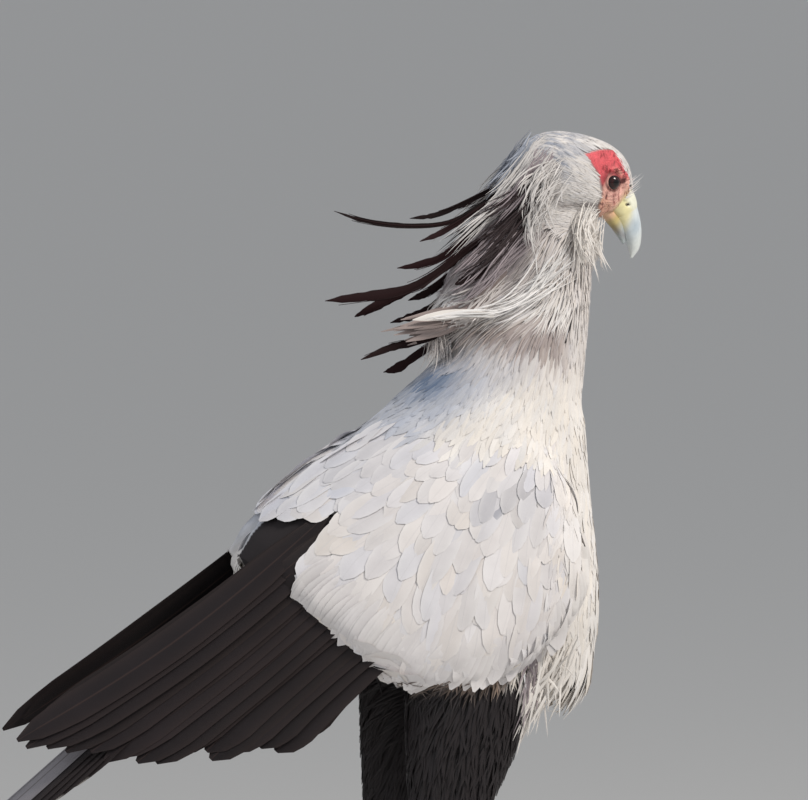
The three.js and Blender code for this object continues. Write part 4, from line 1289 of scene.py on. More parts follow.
# loose plumes: collar, nape, ear ruff, throat
# each cluster: line, count, spread at root and tip, width, tone, shortest share, and True where it stays as drawn
plumeSet = dict(seed=61, rings=12, mirroredAbove=12, clusters=[
    ([(104, -30, 1058), (78, -38, 1032), (44, -45, 1012), (-4, -50, 1003)], 30, 18, 8, 1.1, "fringe", 0.4),
    ([(26, -50, 1002), (-4, -54, 1005), (-36, -56, 1003), (-66, -58, 999)], 1, 0, 0, 6.4, "warmWhite", 1.0, True),
    ([(30, -50, 1004), (-4, -55, 1005), (-34, -57, 1003), (-60, -58, 999)], 6, 2.4, 2.4, 1.3, "fringe", 0.8, True),
    ([(46, -14, 1040), (0, -28, 1008), (-42, -34, 998), (-88, -40, 990)], 12, 7, 8, 5.2, "collarShade", 0.75, True),
    ([(46, -14, 1030), (0, -26, 998), (-40, -32, 984), (-76, -38, 976)], 12, 7, 8, 4.6, "collarShade", 0.7, True),
    ([(88, -50, 652), (80, -60, 614), (70, -63, 580), (60, -62, 544)], 110, 24, 18, 2.4, "warmWhite", 0.35),
    ([(70, -56, 640), (62, -64, 608), (56, -66, 578), (50, -64, 556)], 24, 20, 18, 2.0, "neckShade", 0.35),
    ([(40, -28, 1030), (4, -36, 1006), (-20, -40, 996), (-44, -44, 992)], 30, 12, 14, 1.5, "neckGrey", 0.4),
    ([(78, -22, 1150), (40, -30, 1124), (4, -34, 1096), (-24, -36, 1072)], 22, 9, 14, 1.0, "headGrey", 0.35),
    ([(76, -20, 1128), (36, -32, 1092), (4, -38, 1062), (-22, -38, 1040)], 26, 12, 16, 1.05, "neckShade", 0.35),
    ([(66, -34, 1092), (36, -40, 1060), (10, -42, 1034), (-16, -42, 1018)], 34, 14, 16, 1.05, "neckShade", 0.35),
    ([(80, -8, 1184), (66, -12, 1171), (50, -14, 1151), (31, -16, 1128)], 60, 10, 8, 1.2, "napeBlue", 0.4),
    ([(82, -16, 1180), (62, -22, 1156), (40, -26, 1132), (16, -28, 1112)], 56, 11, 10, 1.2, "headGrey", 0.4),
    ([(88, -26, 1170), (68, -32, 1148), (46, -36, 1124), (22, -36, 1102)], 40, 10, 10, 1.4, "neckShade", 0.45),
    ([(90, -34, 1158), (62, -40, 1140), (30, -40, 1120), (2, -36, 1106)], 13, 7, 9, 1.5, "maroonBlack", 0.6),
    ([(82, -36, 1136), (52, -42, 1112), (22, -42, 1086), (-10, -38, 1062)], 14, 9, 12, 1.6, "maroonBlack", 0.6),
    ([(70, -36, 1112), (42, -44, 1084), (14, -44, 1058), (-18, -40, 1036)], 13, 9, 12, 1.6, "maroonBlack", 0.6),
    ([(96, -36, 1166), (76, -43, 1152), (66, -48, 1136), (60, -50, 1118)], 34, 10, 14, 1.2, "headGrey", 0.4),
    ([(96, -38, 1150), (84, -45, 1132), (80, -48, 1114), (86, -46, 1096)], 36, 14, 18, 1.1, "headGrey", 0.35),
    ([(84, -40, 1128), (72, -44, 1108), (72, -46, 1088), (82, -45, 1066)], 30, 11, 14, 1.2, "headGrey", 0.4),
    ([(138, -16, 1110), (128, -30, 1090), (130, -32, 1068), (138, -28, 1048)], 46, 12, 14, 1.1, "warmWhite", 0.35),
    ([(148, 0, 1104), (146, -6, 1086), (149, -8, 1068), (154, -6, 1052)], 34, 9, 7, 1.0, "warmWhite", 0.4),
    ([(150, -14, 1084), (149, -16, 1070), (153, -16, 1056), (160, -14, 1042)], 9, 5, 6, 0.9, "warmWhite", 0.5)])


def loosePlumes():
    rng = np.random.default_rng(plumeSet["seed"])
    rings = plumeSet["rings"]
    along = np.linspace(0, 1, rings)
    paths, ups, wides, colours = [], [], [], []
    for line, count, nearSpread, farSpread, width, tone, short, *free in plumeSet["clusters"]:
        mirrored = count > plumeSet["mirroredAbove"]
        for mirror in ((1, -1) if mirrored else (1,)):
            middle = stations(line, rings) * [1, mirror, 1] + [0, 0 if mirror == 1 else 6, 0]
            for _ in range(int(count * (1.4 if mirrored else 1))):
                start, end = rng.normal(0, 0.6, 3) * nearSpread, rng.normal(0, 0.6, 3) * farSpread
                own = firstPart(middle, along, rng.uniform(short, 1))
                own = own + start * (1 - along)[:, None] + end * along[:, None]
                own = own + rng.normal(0, 1.1, 3) * np.sin(along * rng.uniform(3, 7))[:, None]
                out, clear = clearance(own)
                lifted = np.maximum(0.6 + 3 * along * rng.random() - clear, 0) * (not free)
                own = own + out * lifted[:, None]
                up = unit(out[0] * 0.5 + np.array([0, -mirror, 0.2]) + rng.normal(0, 0.15, 3))
                paths.append(own)
                ups.append(np.repeat(up[None], rings, 0))
                shape = np.interp(along, [0, .25, .6, .85, 1], [.35, .8, 1, .6, .08])
                wides.append(width * (0.72 if mirrored else 1) * rng.uniform(0.6, 1.15) * shape)
                colours.append(tones[tone] * rng.uniform(0.86, 1.06) * (0.94 + 0.06 * along)[:, None])
    return buildBlades("loose_plumes", paths, ups, wides, colours, 0.06, 0.35, 0.08)


finishPiece(loosePlumes(), paleFeather, "feather_grey")


# skin colour and material
def faceTone(local):
    x, z = local[..., 0], local[..., 2]
    red = np.maximum(ease(-3, 8, z - 0.62 * np.maximum(x, 0) - 1), (1 - ease(-12, -6, x)) * ease(-17, -9, z))
    tone = blendTone(plainTone("skinPink", local), "skinRed", red)
    tone = blendTone(tone, "skinOrange",
                     (1 - ease(-24, -15, z)) * (1 - ease(14, 26, x)) * (0.6 + 0.4 * ripple(local, 4, 21)))
    tone = blendTone(tone, "cereYellow", ease(16, 30, x) * (1 - ease(-4, 10, z)))
    browPale = np.exp(-((x - 1) / 7) ** 2 - ((z - 12.6) / 3.0) ** 2)
    tone = blendTone(tone, "lidPale", browPale * 0.85)
    streaks = ease(0.25, 0.8, ripple(local * [1.0, 0.4, 0.28], 2.3, 22)) * ease(12, 18, z) * 0.55
    behind = np.exp(-((x + 12 + 0.25 * (z + 4)) / 3.0) ** 2) * ease(-20, -12, z) * (1 - ease(6, 14, z))
    behind = behind * (0.6 + 0.4 * ripple(local, 3, 23))
    creases = ease(0.3, 0.75, ripple(local, 3.0, 24)) * (1 - ease(-18, -10, z)) * (1 - ease(18, 26, x)) * 0.75
    rim = np.exp(-((np.hypot(x / 1.12, z) - 9.0) / 1.8) ** 2) * 0.72
    point = (1 - ease(2.0, 4.0, np.abs((z - 3.5) * 0.8 - (x - 6) * 0.62))) * ease(5, 8, x) * (1 - ease(12.5, 15.5, x))
    browLine = np.exp(-((z - 18.2 + 0.35 * (x - 3)) / 1.1) ** 2 - ((x - 3) / 6) ** 2) * 0.8
    darkest = np.maximum.reduce([streaks, behind * 0.7, creases, rim, point * 0.95, browLine])
    tone = blendTone(tone, "lidDark", np.clip(darkest, 0, 1))
    return tone * (1 + 0.14 * ripple(local, 2.2, 5) + 0.10 * ripple(local, 5.5, 6))[..., None]


local = headLocal(skinPoints)
bare = bareFace(local) * headShare(skinPoints)
legShare = 1 - ease(338, 362, skinPoints[:, 2])
under = coatTone(skinPoints) * 0.85
x, aside, z = skinPoints[:, 0], np.abs(skinPoints[:, 1]), skinPoints[:, 2]
inWedge = (insideOutline(skinPoints[:, [0, 2]], wedgeOutline) > -2) & (aside > 30)
dark = ((np.abs(z - 470) < 150) & (x < 96)) | inWedge
under = np.where(dark[:, None], tones["black"], under)
hang = (aside > outerSide) & (z < hemHeight(x)) & (x < 60) & (z > 560)
under = np.where(hang[:, None], bellyTone(skinPoints) * 0.8, under)
legTone = blendTone(plainTone("legPink", under), "legGrey", ease(-0.3, 0.7, ripple(skinPoints, 14, 2)) * 0.5)
skinTone = under * (1 - legShare)[:, None] + legTone * legShare[:, None]
skinTone = skinTone * (1 - bare)[:, None] + faceTone(local) * bare[:, None]
pointColour(skin.data, "skinTone", skinTone)
for name, values in (("bare", bare), ("leg", legShare)):
    skin.data.attributes.new(name, "FLOAT", "POINT").data.foreach_set("value", values.astype(np.float32))


def cellsGroup():  # small scales or pebbles with darker creases, in real size
    tree, given, result = nodeGroup("scaly cells", "ShaderNodeTree",
                                    {"Scale": ("Float", 600.0), "Crease": ("Float", 0.12)},
                                    {"Height": ("Float",), "Crease": ("Float",)})
    where = addNode(tree, "ShaderNodeTexCoord")
    bend = addNode(tree, "ShaderNodeTexNoise", {"Vector": where.outputs["Object"], "Scale": 160})
    shove = addNode(tree, "ShaderNodeVectorMath",
                    {0: bend.outputs["Color"], 1: (0.0016,) * 3, 2: where.outputs["Object"]},
                    operation="MULTIPLY_ADD")
    edge = addNode(tree, "ShaderNodeTexVoronoi",
                   {"Vector": shove.outputs[0], "Scale": given.outputs["Scale"]}, feature="DISTANCE_TO_EDGE")
    crease = minus(tree, 1.0, mathNode(tree, "DIVIDE", edge.outputs["Distance"], given.outputs["Crease"]), True)
    joinInputs(tree, result, {"Height": minus(tree, 1.0, crease), "Crease": crease})
    return tree


def wrinkleGroup():  # dark upright wrinkles of the bare face
    tree, given, result = nodeGroup("face wrinkles", "ShaderNodeTree",
                                    {"Scale": ("Float", 330.0), "Cut": ("Float", 0.56)},
                                    {"Wrinkle": ("Float",)})
    where = addNode(tree, "ShaderNodeTexCoord")
    stretch = addNode(tree, "ShaderNodeVectorMath",
                      {0: where.outputs["Object"], 1: (1.0, 0.5, 0.36)}, operation="MULTIPLY")
    noise = addNode(tree, "ShaderNodeTexNoise",
                    {"Vector": stretch.outputs[0], "Scale": given.outputs["Scale"], "Detail": 3, "Distortion": 0.6})
    over = minus(tree, noise.outputs["Fac"], given.outputs["Cut"])
    joinInputs(tree, result, {"Wrinkle": times(tree, over, 11.0, True)})
    return tree


scalyCells = cellsGroup()
skinMaterial, tree = newMaterial("bird skin")
bareShare, legShareOut = (addNode(tree, "ShaderNodeAttribute", attribute_name=name).outputs["Fac"]
                          for name in ("bare", "leg"))
cells = placeGroup(tree, scalyCells, {"Scale": 900.0, "Crease": 0.2})
legCells = placeGroup(tree, scalyCells, {"Scale": 330.0, "Crease": 0.09})
wrinkles = placeGroup(tree, wrinkleGroup(), {"Scale": 330.0, "Cut": 0.55})
colour = pointTone(tree, "skinTone", 120.0, 0.2).outputs["Color"]
for mark, share, amount, tint in ((cells.outputs["Crease"], bareShare, 0.55, (0.55, 0.25, 0.25)),
                                  (wrinkles.outputs["Wrinkle"], bareShare, 0.8, (0.42, 0.16, 0.18)),
                                  (legCells.outputs["Crease"], legShareOut, 0.5, (0.5, 0.42, 0.4))):
    colour = mixNode(tree, "MULTIPLY", times(tree, mark, times(tree, share, amount)), colour, tint)
faceHeight = times(tree, minus(tree, cells.outputs["Height"], wrinkles.outputs["Wrinkle"]), bareShare)
addBump(tree, plus(tree, faceHeight, times(tree, legCells.outputs["Height"], legShareOut)), 0.45, 0.0005)
setShader(tree, {"Base Color": colour,
                 "Roughness": minus(tree, 0.8, times(tree, plus(tree, bareShare, legShareOut), 0.33))})
skin.data.materials.append(skinMaterial)

# bill
billSet = dict(rings=64, sides=56,
               top=[(16, 13), (20, 12), (39, 8), (54.8, -5.2), (65, -15), (73, -26), (78.6, -39), (77.6, -52)],
               low=[(8, -25), (12, -26), (24, -25), (38, -28.5), (52, -36), (63.5, -43), (70.5, -49), (75.4, -54.2)],
               half=[15, 15, 13.5, 12, 10.4, 8.0, 4.6, 0.9],
               lowerTop=[(2, -19), (22, -19), (38, -22), (50, -28), (60.5, -38)],
               lowerLow=[(4, -36), (22, -34.5), (37, -37.5), (49, -42), (59, -46.2)],
               lowerHalf=[11.0, 9.6, 7.6, 5.4, 2.0],
               cereEnd=45.0, cereProud=0.8, nostril=(35.5, -8.6), nostrilLong=3.0, nostrilHigh=1.5, nostrilSlant=38.0)


def headPlace(points):
    return toScene(fromHead(points))


def billPiece(name, points, tone, slot, material, *nodeNames):
    mesh = ringMesh(name, points, headPlace)
    pointColour(mesh, "hornTone", tone(headLocal(toBird(meshPoints(mesh)))))
    finishPiece(linkMesh(name, mesh), material, slot, *nodeNames)


def keelRings(points, pinch):  # draws the ridge of the bill in and keeps the flanks full
    middle = points.mean(1, keepdims=True)
    rel = points - middle
    top = np.clip(rel[..., 2] / np.maximum(np.abs(rel[..., 2]).max(1, keepdims=True), 1e-6), -1, 1)
    points = points.copy()
    points[..., 1] *= 1 - pinch * np.clip(top, 0, 1) ** 2
    return points


def hornMaterial(name, roughness, coatWeight, streak):
    material, tree = newMaterial(name)
    where = addNode(tree, "ShaderNodeTexCoord")
    stretch = addNode(tree, "ShaderNodeMapping",
                      {"Vector": where.outputs["Object"], "Scale": (60, 260, 60),
                       "Rotation": (0, math.radians(40), math.radians(14))})
    grain = addNode(tree, "ShaderNodeTexNoise", {"Vector": stretch.outputs["Vector"], "Scale": 3.0, "Detail": 6})
    drift = pointTone(tree, "hornTone", 90.0, 0.12)
    colour = mixNode(tree, "MULTIPLY", times(tree, minus(tree, grain.outputs["Fac"], 0.35, True), streak),
                     drift.outputs["Color"], (0.6, 0.62, 0.62))
    addBump(tree, grain.outputs["Fac"], 0.25, 0.0004)
    setShader(tree, {"Base Color": colour, "Roughness": roughness, "Coat Weight": coatWeight, "Coat Roughness": 0.25})
    return material


def ridgeShare(local):  # the cere pales above the nostril
    return ease(-4, 5, local[:, 2] - billSet["nostril"][1] + 0.5 * (local[:, 0] - billSet["nostril"][0])) * 0.65


def upperTone(local):
    x, y, z = local[:, 0], local[:, 1], local[:, 2]
    tone = blendTone(plainTone("hornPale", local), "hornBlue",
                     np.exp(-((x - 58) / 9) ** 2) * (0.4 + 0.4 * np.exp(-((z + 24) / 9) ** 2)))
    tone = blendTone(tone, "cereYellow", (1 - ease(38, 49, x + 0.25 * (z + 10))) * (1 - ridgeShare(local)))
    # painted shade inside the nostril opening
    tone = blendTone(tone, "clawDark", (1 - ease(1.1, 1.5, nostrilReach(local))) * (np.abs(y) > 3))
    return tone * (1 + 0.04 * ripple(local, 5, 3))[:, None]


def lowerTone(local):
    x, z = local[:, 0], local[:, 2]
    tone = blendTone(plainTone("gapeOlive", local), "hornBlue", ease(34, 50, x) * 0.8)
    tone = blendTone(tone, "skinOrange", (1 - ease(24, 34, x - 0.4 * (z + 30))) * 0.85)
    # painted shade along the middle of the lower mandible
    tone = blendTone(tone, "lidDark", np.exp(-((z + 38) / 3.5) ** 2) * 0.35 * ease(20, 40, x))
    return tone * (1 + 0.06 * ripple(local, 4, 3))[:, None]


def cereTone(local):
    x, y, z = local[:, 0], local[:, 1], local[:, 2]
    tone = blendTone(plainTone("cereYellow", local), "skinPink", (1 - ease(16, 25, x)) * 0.7)
    tone = blendTone(tone, "hornPale", np.maximum(ease(40, 46, x) * 0.5, ridgeShare(local)))
    tone = blendTone(tone, "gapeOlive", (1 - ease(-25, -20, z)) * 0.6)
    # painted shade inside the nostril opening
    tone = blendTone(tone, "clawDark", (1 - ease(0.8, 1.3, nostrilReach(local))) * (np.abs(y) > 3))
    return tone * (1 + 0.06 * ripple(local, 3, 4))[:, None]


def nostrilReach(local):
    slant = math.radians(billSet["nostrilSlant"])
    dx, dz = local[..., 0] - billSet["nostril"][0], local[..., 2] - billSet["nostril"][1]
    return np.hypot((dx * math.cos(slant) + dz * math.sin(slant)) / billSet["nostrilLong"],
                    (dz * math.cos(slant) - dx * math.sin(slant)) / billSet["nostrilHigh"])


upperRings = loftRings(billSet["top"], billSet["low"], billSet["half"], billSet["rings"], billSet["sides"], 2.2)
upperRings = keelRings(upperRings, 0.32)
dent = 1 - ease(0.5, 1.5, nostrilReach(upperRings)[..., None])
upperRings = upperRings - unit(upperRings - upperRings.mean(1, keepdims=True)) * 3.0 * dent
billPiece("bill_horn_upper", upperRings, upperTone, "bill_horn", hornMaterial("bill horn", 0.36, 0.35, 0.7),
          "bill_upper")
lowerRings = loftRings(billSet["lowerTop"], billSet["lowerLow"], billSet["lowerHalf"], 40, 40, 2.3)
billPiece("bill_horn_lower", lowerRings, lowerTone, "bill_horn", hornMaterial("lower bill horn", 0.42, 0.2, 0.8),
          "bill_lower")
cereRings = upperRings[upperRings[:, :, 0].mean(1) < billSet["cereEnd"]].copy()
centreLine = cereRings.mean(1, keepdims=True)
out = unit(cereRings - centreLine)
place = np.linspace(0, 1, len(cereRings))[:, None, None]
cereRings = cereRings + out * (billSet["cereProud"] * (1 - ease(0.86, 1.0, place) * 1.5) +
                               0.25 * np.sin(place * 9) * (1 - place))
nose = nostrilReach(cereRings)[..., None]
cereRings = cereRings - out * 2.4 * (1 - ease(0.35, 1.15, nose)) + out * 0.5 * np.exp(-((nose - 1.5) / 0.35) ** 2)
cereMaterial = hornMaterial("cere skin", 0.5, 0.1, 0.3)
billPiece("cere_skin", cereRings, cereTone, "cere_skin", cereMaterial, "cere")
print("bill ready")

# eyes
eyeSet = dict(iris=8.0, cornea=1.1, pupil=3.4, rings=48, sides=64)


def eyeMesh(s):
    look = math.radians(lidSet["forward"])
    axis = np.array([math.sin(look), s * math.cos(look), 0])
    ahead = np.array([math.cos(look), -s * math.sin(look), 0])
    above = np.cross(axis, ahead)
    polar = np.linspace(0.0, math.pi, eyeSet["rings"] + 2)[1:-1] ** 1.25 / math.pi ** 0.25
    turn = np.linspace(0, 2 * math.pi, eyeSet["sides"], endpoint=False)
    gap = np.sin(polar) * headSet["eyeRadius"]
    bulge = np.where((polar < 1.2) & (gap < eyeSet["iris"]), eyeSet["cornea"] * (1 - (gap / eyeSet["iris"]) ** 2), 0)
    radius = headSet["eyeRadius"] - 0.15 + bulge
    around = np.cos(turn)[None, :, None] * ahead + np.sin(turn)[None, :, None] * above
    points = (np.cos(polar)[:, None, None] * axis + np.sin(polar)[:, None, None] * around) * radius[:, None, None]
    mesh = ringMesh("eye", points + np.array([0, s * headSet["eyeSide"], 0]), headPlace)
    centre = np.array([0, s * headSet["eyeSide"], 0])
    q = headLocal(toBird(meshPoints(mesh))) - centre
    gap = np.linalg.norm(q - (q @ axis)[:, None] * axis, axis=1)
    front = q @ axis > 0
    angle = np.arctan2(q @ above, q @ ahead)
    rays = 0.5 + 0.5 * np.sin(angle * 34 + 2 * np.sin(angle * 7))
    iris = blendTone(plainTone("irisBrown", q), "irisDark", np.clip(0.35 * rays + ease(5.6, 7.8, gap), 0, 1))
    tone = np.where(((gap < eyeSet["pupil"]) & front)[:, None], srgb(8, 6, 8), iris)
    tone = np.where(((gap > eyeSet["iris"]) | ~front)[:, None], tones["irisDark"] * 0.8, tone)
    pointColour(mesh, "eyeTone", tone)
    return mesh


eyeMaterial, tree = newMaterial("wet eye")
eyeTint = addNode(tree, "ShaderNodeAttribute", attribute_name="eyeTone")
setShader(tree, {"Base Color": eyeTint.outputs["Color"], "Roughness": 0.2, "Specular IOR Level": 0.25,
                 "Coat Weight": 0.4, "Coat Roughness": 0.02})
for s, side in sides:
    finishPiece(linkMesh(f"eyeball_{side}", eyeMesh(s)), eyeMaterial, "eye_dark", f"eye_{side}")

# claws
clawSet = dict(levels=2)
clawMaterial = hornMaterial("claw horn", 0.4, 0.3, 0.8)
clawNames = [f"claw_{toe}_{side}" for toe in ("inner", "middle", "outer", "hind") for side in ("left", "right")]
claws = linkMesh("claws", grownJoin(clawNames, growth=lambda name: 0.0))
smoother = claws.modifiers.new("smooth", "SUBSURF")
smoother.levels = smoother.render_levels = clawSet["levels"]
clawMesh = applied(claws)
clawPoints = toBird(meshPoints(clawMesh))
pointColour(clawMesh, "hornTone", tones["clawDark"] * (1 + 0.2 * ripple(clawPoints, 6, 1))[:, None])
smoothAll(clawMesh)
finishPiece(linkMesh("claws", clawMesh), clawMaterial, "claw_horn", *clawNames)


# node-built pieces: scutes, fine scales and bristles
def geometryTree(name, inputs):
    return nodeGroup(name, "GeometryNodeTree", {"Geometry": ("Geometry",), **inputs}, {"Geometry": ("Geometry",)})


def closeTree(tree, result, last, material):
    real = addNode(tree, "GeometryNodeRealizeInstances", {"Geometry": last})
    painted = addNode(tree, "GeometryNodeSetMaterial", {"Geometry": real.outputs[0], "Material": material})
    tree.links.new(painted.outputs[0], result.inputs[0])
    return tree


def runTree(name, base, tree, values):  # sets the inputs by identifier, then keeps the plain result
    modifier = base.modifiers.new(tree.name, "NODES")
    modifier.node_group = tree
    ids = {item.name: item.identifier for item in tree.interface.items_tree if item.in_out == "INPUT"}
    for label, value in values.items():
        modifier[ids[label]] = value
    bpy.context.view_layer.update()
    mesh = applied(base)
    mesh.name = name
    return linkMesh(name, mesh)


def bakeIslands(piece, perIsland, colourName, tone):  # one small patch for each scale or bristle
    mesh = piece.data
    points = toBird(meshPoints(mesh))
    points[:, 2] = np.maximum(points[:, 2], 0.2)
    movePoints(mesh, points)
    count = len(points) // perIsland
    islands = points[:count * perIsland].reshape(count, perIsland, 3)
    cell = np.repeat(bakeCells(bakePlace(islands.mean(1))), perIsland, axis=0)
    spread = (np.arange(perIsland) + 0.5) / perIsland
    inside = np.tile(np.stack([spread, (spread * 7) % 1], 1), (count, 1)) * bakeSet["patch"]
    for layer in list(mesh.uv_layers):
        mesh.uv_layers.remove(layer)
    uvMap(mesh, "OFBake", cell + inside)
    pointColour(mesh, colourName, np.repeat(tone(islands.mean(1)), perIsland, axis=0))
    smoothAll(mesh)


def plateMesh(name, across, long, arc, thick, rows=3, columns=7):  # one scute, bent round a limb of radius 1
    u, v = np.meshgrid(np.linspace(-1, 1, columns), np.linspace(-0.5, 0.5, rows))
    angle = u * math.radians(arc) / 2
    swell = (1 - 0.8 * np.abs(u) ** 3) * (1 - 0.55 * (2 * np.abs(v)) ** 3)
    layers = []
    for base in (1.0 + thick, 0.86):
        r = base if base < 1 else 1.0 + thick * swell
        down = v * long * (1 - 0.12 * np.abs(u) ** 2) + 0.10 * np.abs(u) ** 2
        layer = np.stack([np.sin(angle) * r * across, down, np.cos(angle) * r * across], -1)
        layers.append(layer.reshape(-1, 3))
    top, faces, n = layers[0], [], rows * columns
    for r in range(rows - 1):
        for c in range(columns - 1):
            a = r * columns + c
            faces.append([a, a + 1, a + 1 + columns, a + columns])
            faces.append([n + a, n + a + columns, n + a + 1 + columns, n + a + 1])
    edge = (list(range(columns)) + [columns * (r + 1) - 1 for r in range(1, rows)] +
            list(range(n - 2, n - columns - 1, -1)) + [columns * r for r in range(rows - 2, 0, -1)])
    for a, b in zip(edge, edge[1:] + edge[:1]):
        faces.append([b, a, n + a, n + b])
    mesh = meshFrom(name, np.vstack(layers), faces)
    work = bmesh.new()
    work.from_mesh(mesh)
    bmesh.ops.recalc_face_normals(work, faces=work.faces)
    work.to_mesh(mesh)
    work.free()
    return linkMesh(name, mesh)


scaleMaterial, tree = newMaterial("leg scale")
drift = pointTone(tree, "scaleTone", 260.0, 0.22)
addBump(tree, drift.outputs["Mask"], 0.3, 0.0003)
setShader(tree, {"Base Color": drift.outputs["Color"], "Roughness": 0.48, "Coat Weight": 0.12, "Coat Roughness": 0.3})

scuteSet = dict(tarsusCount=27, tarsusArc=150, thick=0.09, forward=-22, stagger=14, apart=54, ankle=(-54, 334),
                toes=[("inner", 32, 56), ("middle", 2, 68), ("outer", -30, 54), ("hind", 176, 30)],
                scaleSize=1.7, scaleSeed=71, bristleRoot=0.42)


def polyline(name, lines, values):  # lines of points in the bird's axes, with named values on the points
    points, edges, first = [], [], 0
    for line in lines:
        points.append(line)
        edges += [(first + i, first + i + 1) for i in range(len(line) - 1)]
        first += len(line)
    mesh = bpy.data.meshes.new(name)
    mesh.from_pydata([tuple(p) for p in toScene(np.vstack(points))], edges, [])
    for label, kind, data in values:
        data = np.asarray(data, np.float32)
        field = "vector" if kind == "FLOAT_VECTOR" else "value"
        mesh.attributes.new(label, kind, "POINT").data.foreach_set(field, data.ravel())
    return linkMesh(name, mesh)


def scuteTree():  # scutes set along each line, turned to face outward, sized by the girth of the limb
    tree, given, result = geometryTree("scute rows", {"Scute": ("Object",), "Overlap": ("Float", 1.0)})
    curve = addNode(tree, "GeometryNodeMeshToCurve", {"Mesh": given.outputs["Geometry"]})
    outward = addNode(tree, "GeometryNodeInputNamedAttribute", {"Name": "outward"}, data_type="FLOAT_VECTOR")
    girth = addNode(tree, "GeometryNodeInputNamedAttribute",
                    {"Name": "girth"}, data_type="FLOAT").outputs["Attribute"]
    tangent = addNode(tree, "GeometryNodeInputTangent")
    turn = addNode(tree, "FunctionNodeAxesToRotation",
                   {"Primary Axis": outward.outputs["Attribute"], "Secondary Axis": tangent.outputs[0]},
                   primary_axis="Z", secondary_axis="Y")
    plate = addNode(tree, "GeometryNodeObjectInfo", {"Object": given.outputs["Scute"]})
    size = addNode(tree, "ShaderNodeCombineXYZ",
                   {"X": girth, "Y": times(tree, girth, given.outputs["Overlap"]), "Z": girth})
    stored = addNode(tree, "GeometryNodeStoreNamedAttribute",
                     {"Geometry": curve.outputs[0], "Name": "turn", "Value": turn.outputs[0]}, data_type="QUATERNION",
                     domain="POINT")
    points = addNode(tree, "GeometryNodeCurveToPoints", {"Curve": stored.outputs[0]}, mode="EVALUATED")
    turned = addNode(tree, "GeometryNodeInputNamedAttribute", {"Name": "turn"}, data_type="QUATERNION")
    placed = addNode(tree, "GeometryNodeInstanceOnPoints",
                     {"Points": points.outputs["Points"], "Instance": plate.outputs["Geometry"],
                      "Rotation": turned.outputs["Attribute"], "Scale": size.outputs[0]})
    return closeTree(tree, result, placed.outputs[0], scaleMaterial)


def limbAxis(s, t):  # down the tarsus from the ankle to the foot
    top = np.array([scuteSet["ankle"][0] - s * scuteSet["stagger"], s * scuteSet["apart"], scuteSet["ankle"][1]])
    end = np.array([scuteSet["forward"] - s * scuteSet["stagger"], s * scuteSet["apart"], 26.0])
    return top + (end - top) * np.asarray(t)[:, None]


rayStart = 60  # mm, clear of a leg, a foot or the face


def hitFrom(points, way):  # where rays from outside first meet the outer form
    found = []
    for p, w in zip(points, way):
        hit = outerTree.ray_cast(Vector(p), Vector(w))
        found.append(np.array(hit[0]) if hit[0] is not None else np.full(3, np.nan))
    return np.array(found)


def scuteLines():
    lines, outs, girths = [], [], []
    for s in (-1, 1):
        for way, count, arc in (((1, 0, 0.1), scuteSet["tarsusCount"], 1.0),
                                ((-1, 0, -0.1), scuteSet["tarsusCount"] + 6, 0.8)):
            t = np.linspace(0.015, 0.93, count)
            axis, way = limbAxis(s, t), unit(np.array(way, float))
            front = hitFrom(axis + way * rayStart, np.repeat(-way[None], count, 0))
            side = hitFrom(axis + np.array([0, rayStart, 0]), np.repeat([[0.0, -1, 0]], count, 0))
            reach = np.abs(side[:, 1] - axis[:, 1])
            good = ~np.isnan(front).any(1) & ~np.isnan(reach)
            reach = np.clip(reach, 6, 15)
            lines.append((front - way * reach[:, None])[good])
            outs.append(np.repeat(way[None], good.sum(), 0))
            girths.append(reach[good])
        for toe, heading, long in scuteSet["toes"]:
            a = math.radians(-s * heading)
            ahead = np.array([math.cos(a), math.sin(a), 0])
            start = np.array([scuteSet["forward"] - s * scuteSet["stagger"], s * scuteSet["apart"], 0.0])
            run = np.arange(21 if toe != "hind" else 14, long - 3, 5.2 if toe != "hind" else 4.6)
            above = start + ahead * run[:, None] + [0, 0, rayStart]
            top = hitFrom(above, np.repeat([[0.0, 0, -1]], len(run), 0))
            good = ~np.isnan(top).any(1) & (top[:, 2] < 21)
            run, top = run[good], top[good]
            reach = np.clip(top[:, 2] * 0.5, 3.0, 6.5)
            lines.append(top - [0, 0, 1] * reach[:, None])
            outs.append(np.repeat([[0.0, 0, 1]], len(run), 0))
            girths.append(reach)
    return lines, np.vstack(outs), np.concatenate(girths) * 0.001


lines, outs, girths = scuteLines()
plate = plateMesh("scute", 1.0, 1.25, scuteSet["tarsusArc"], scuteSet["thick"])
rows = polyline("scute rows", lines, [("outward", "FLOAT_VECTOR", outs), ("girth", "FLOAT", girths)])
perScute = len(plate.data.vertices)
scutes = runTree("leg_scutes", rows, scuteTree(), {"Scute": plate, "Overlap": 1.0})
bakeIslands(scutes, perScute, "scaleTone",
            lambda p: blendTone(plainTone("legPink", p), "legGrey", 0.5 + 0.5 * ripple(p, 9, 2)))
bpy.data.objects.remove(plate)
finishPiece(scutes, None, "leg_scales")


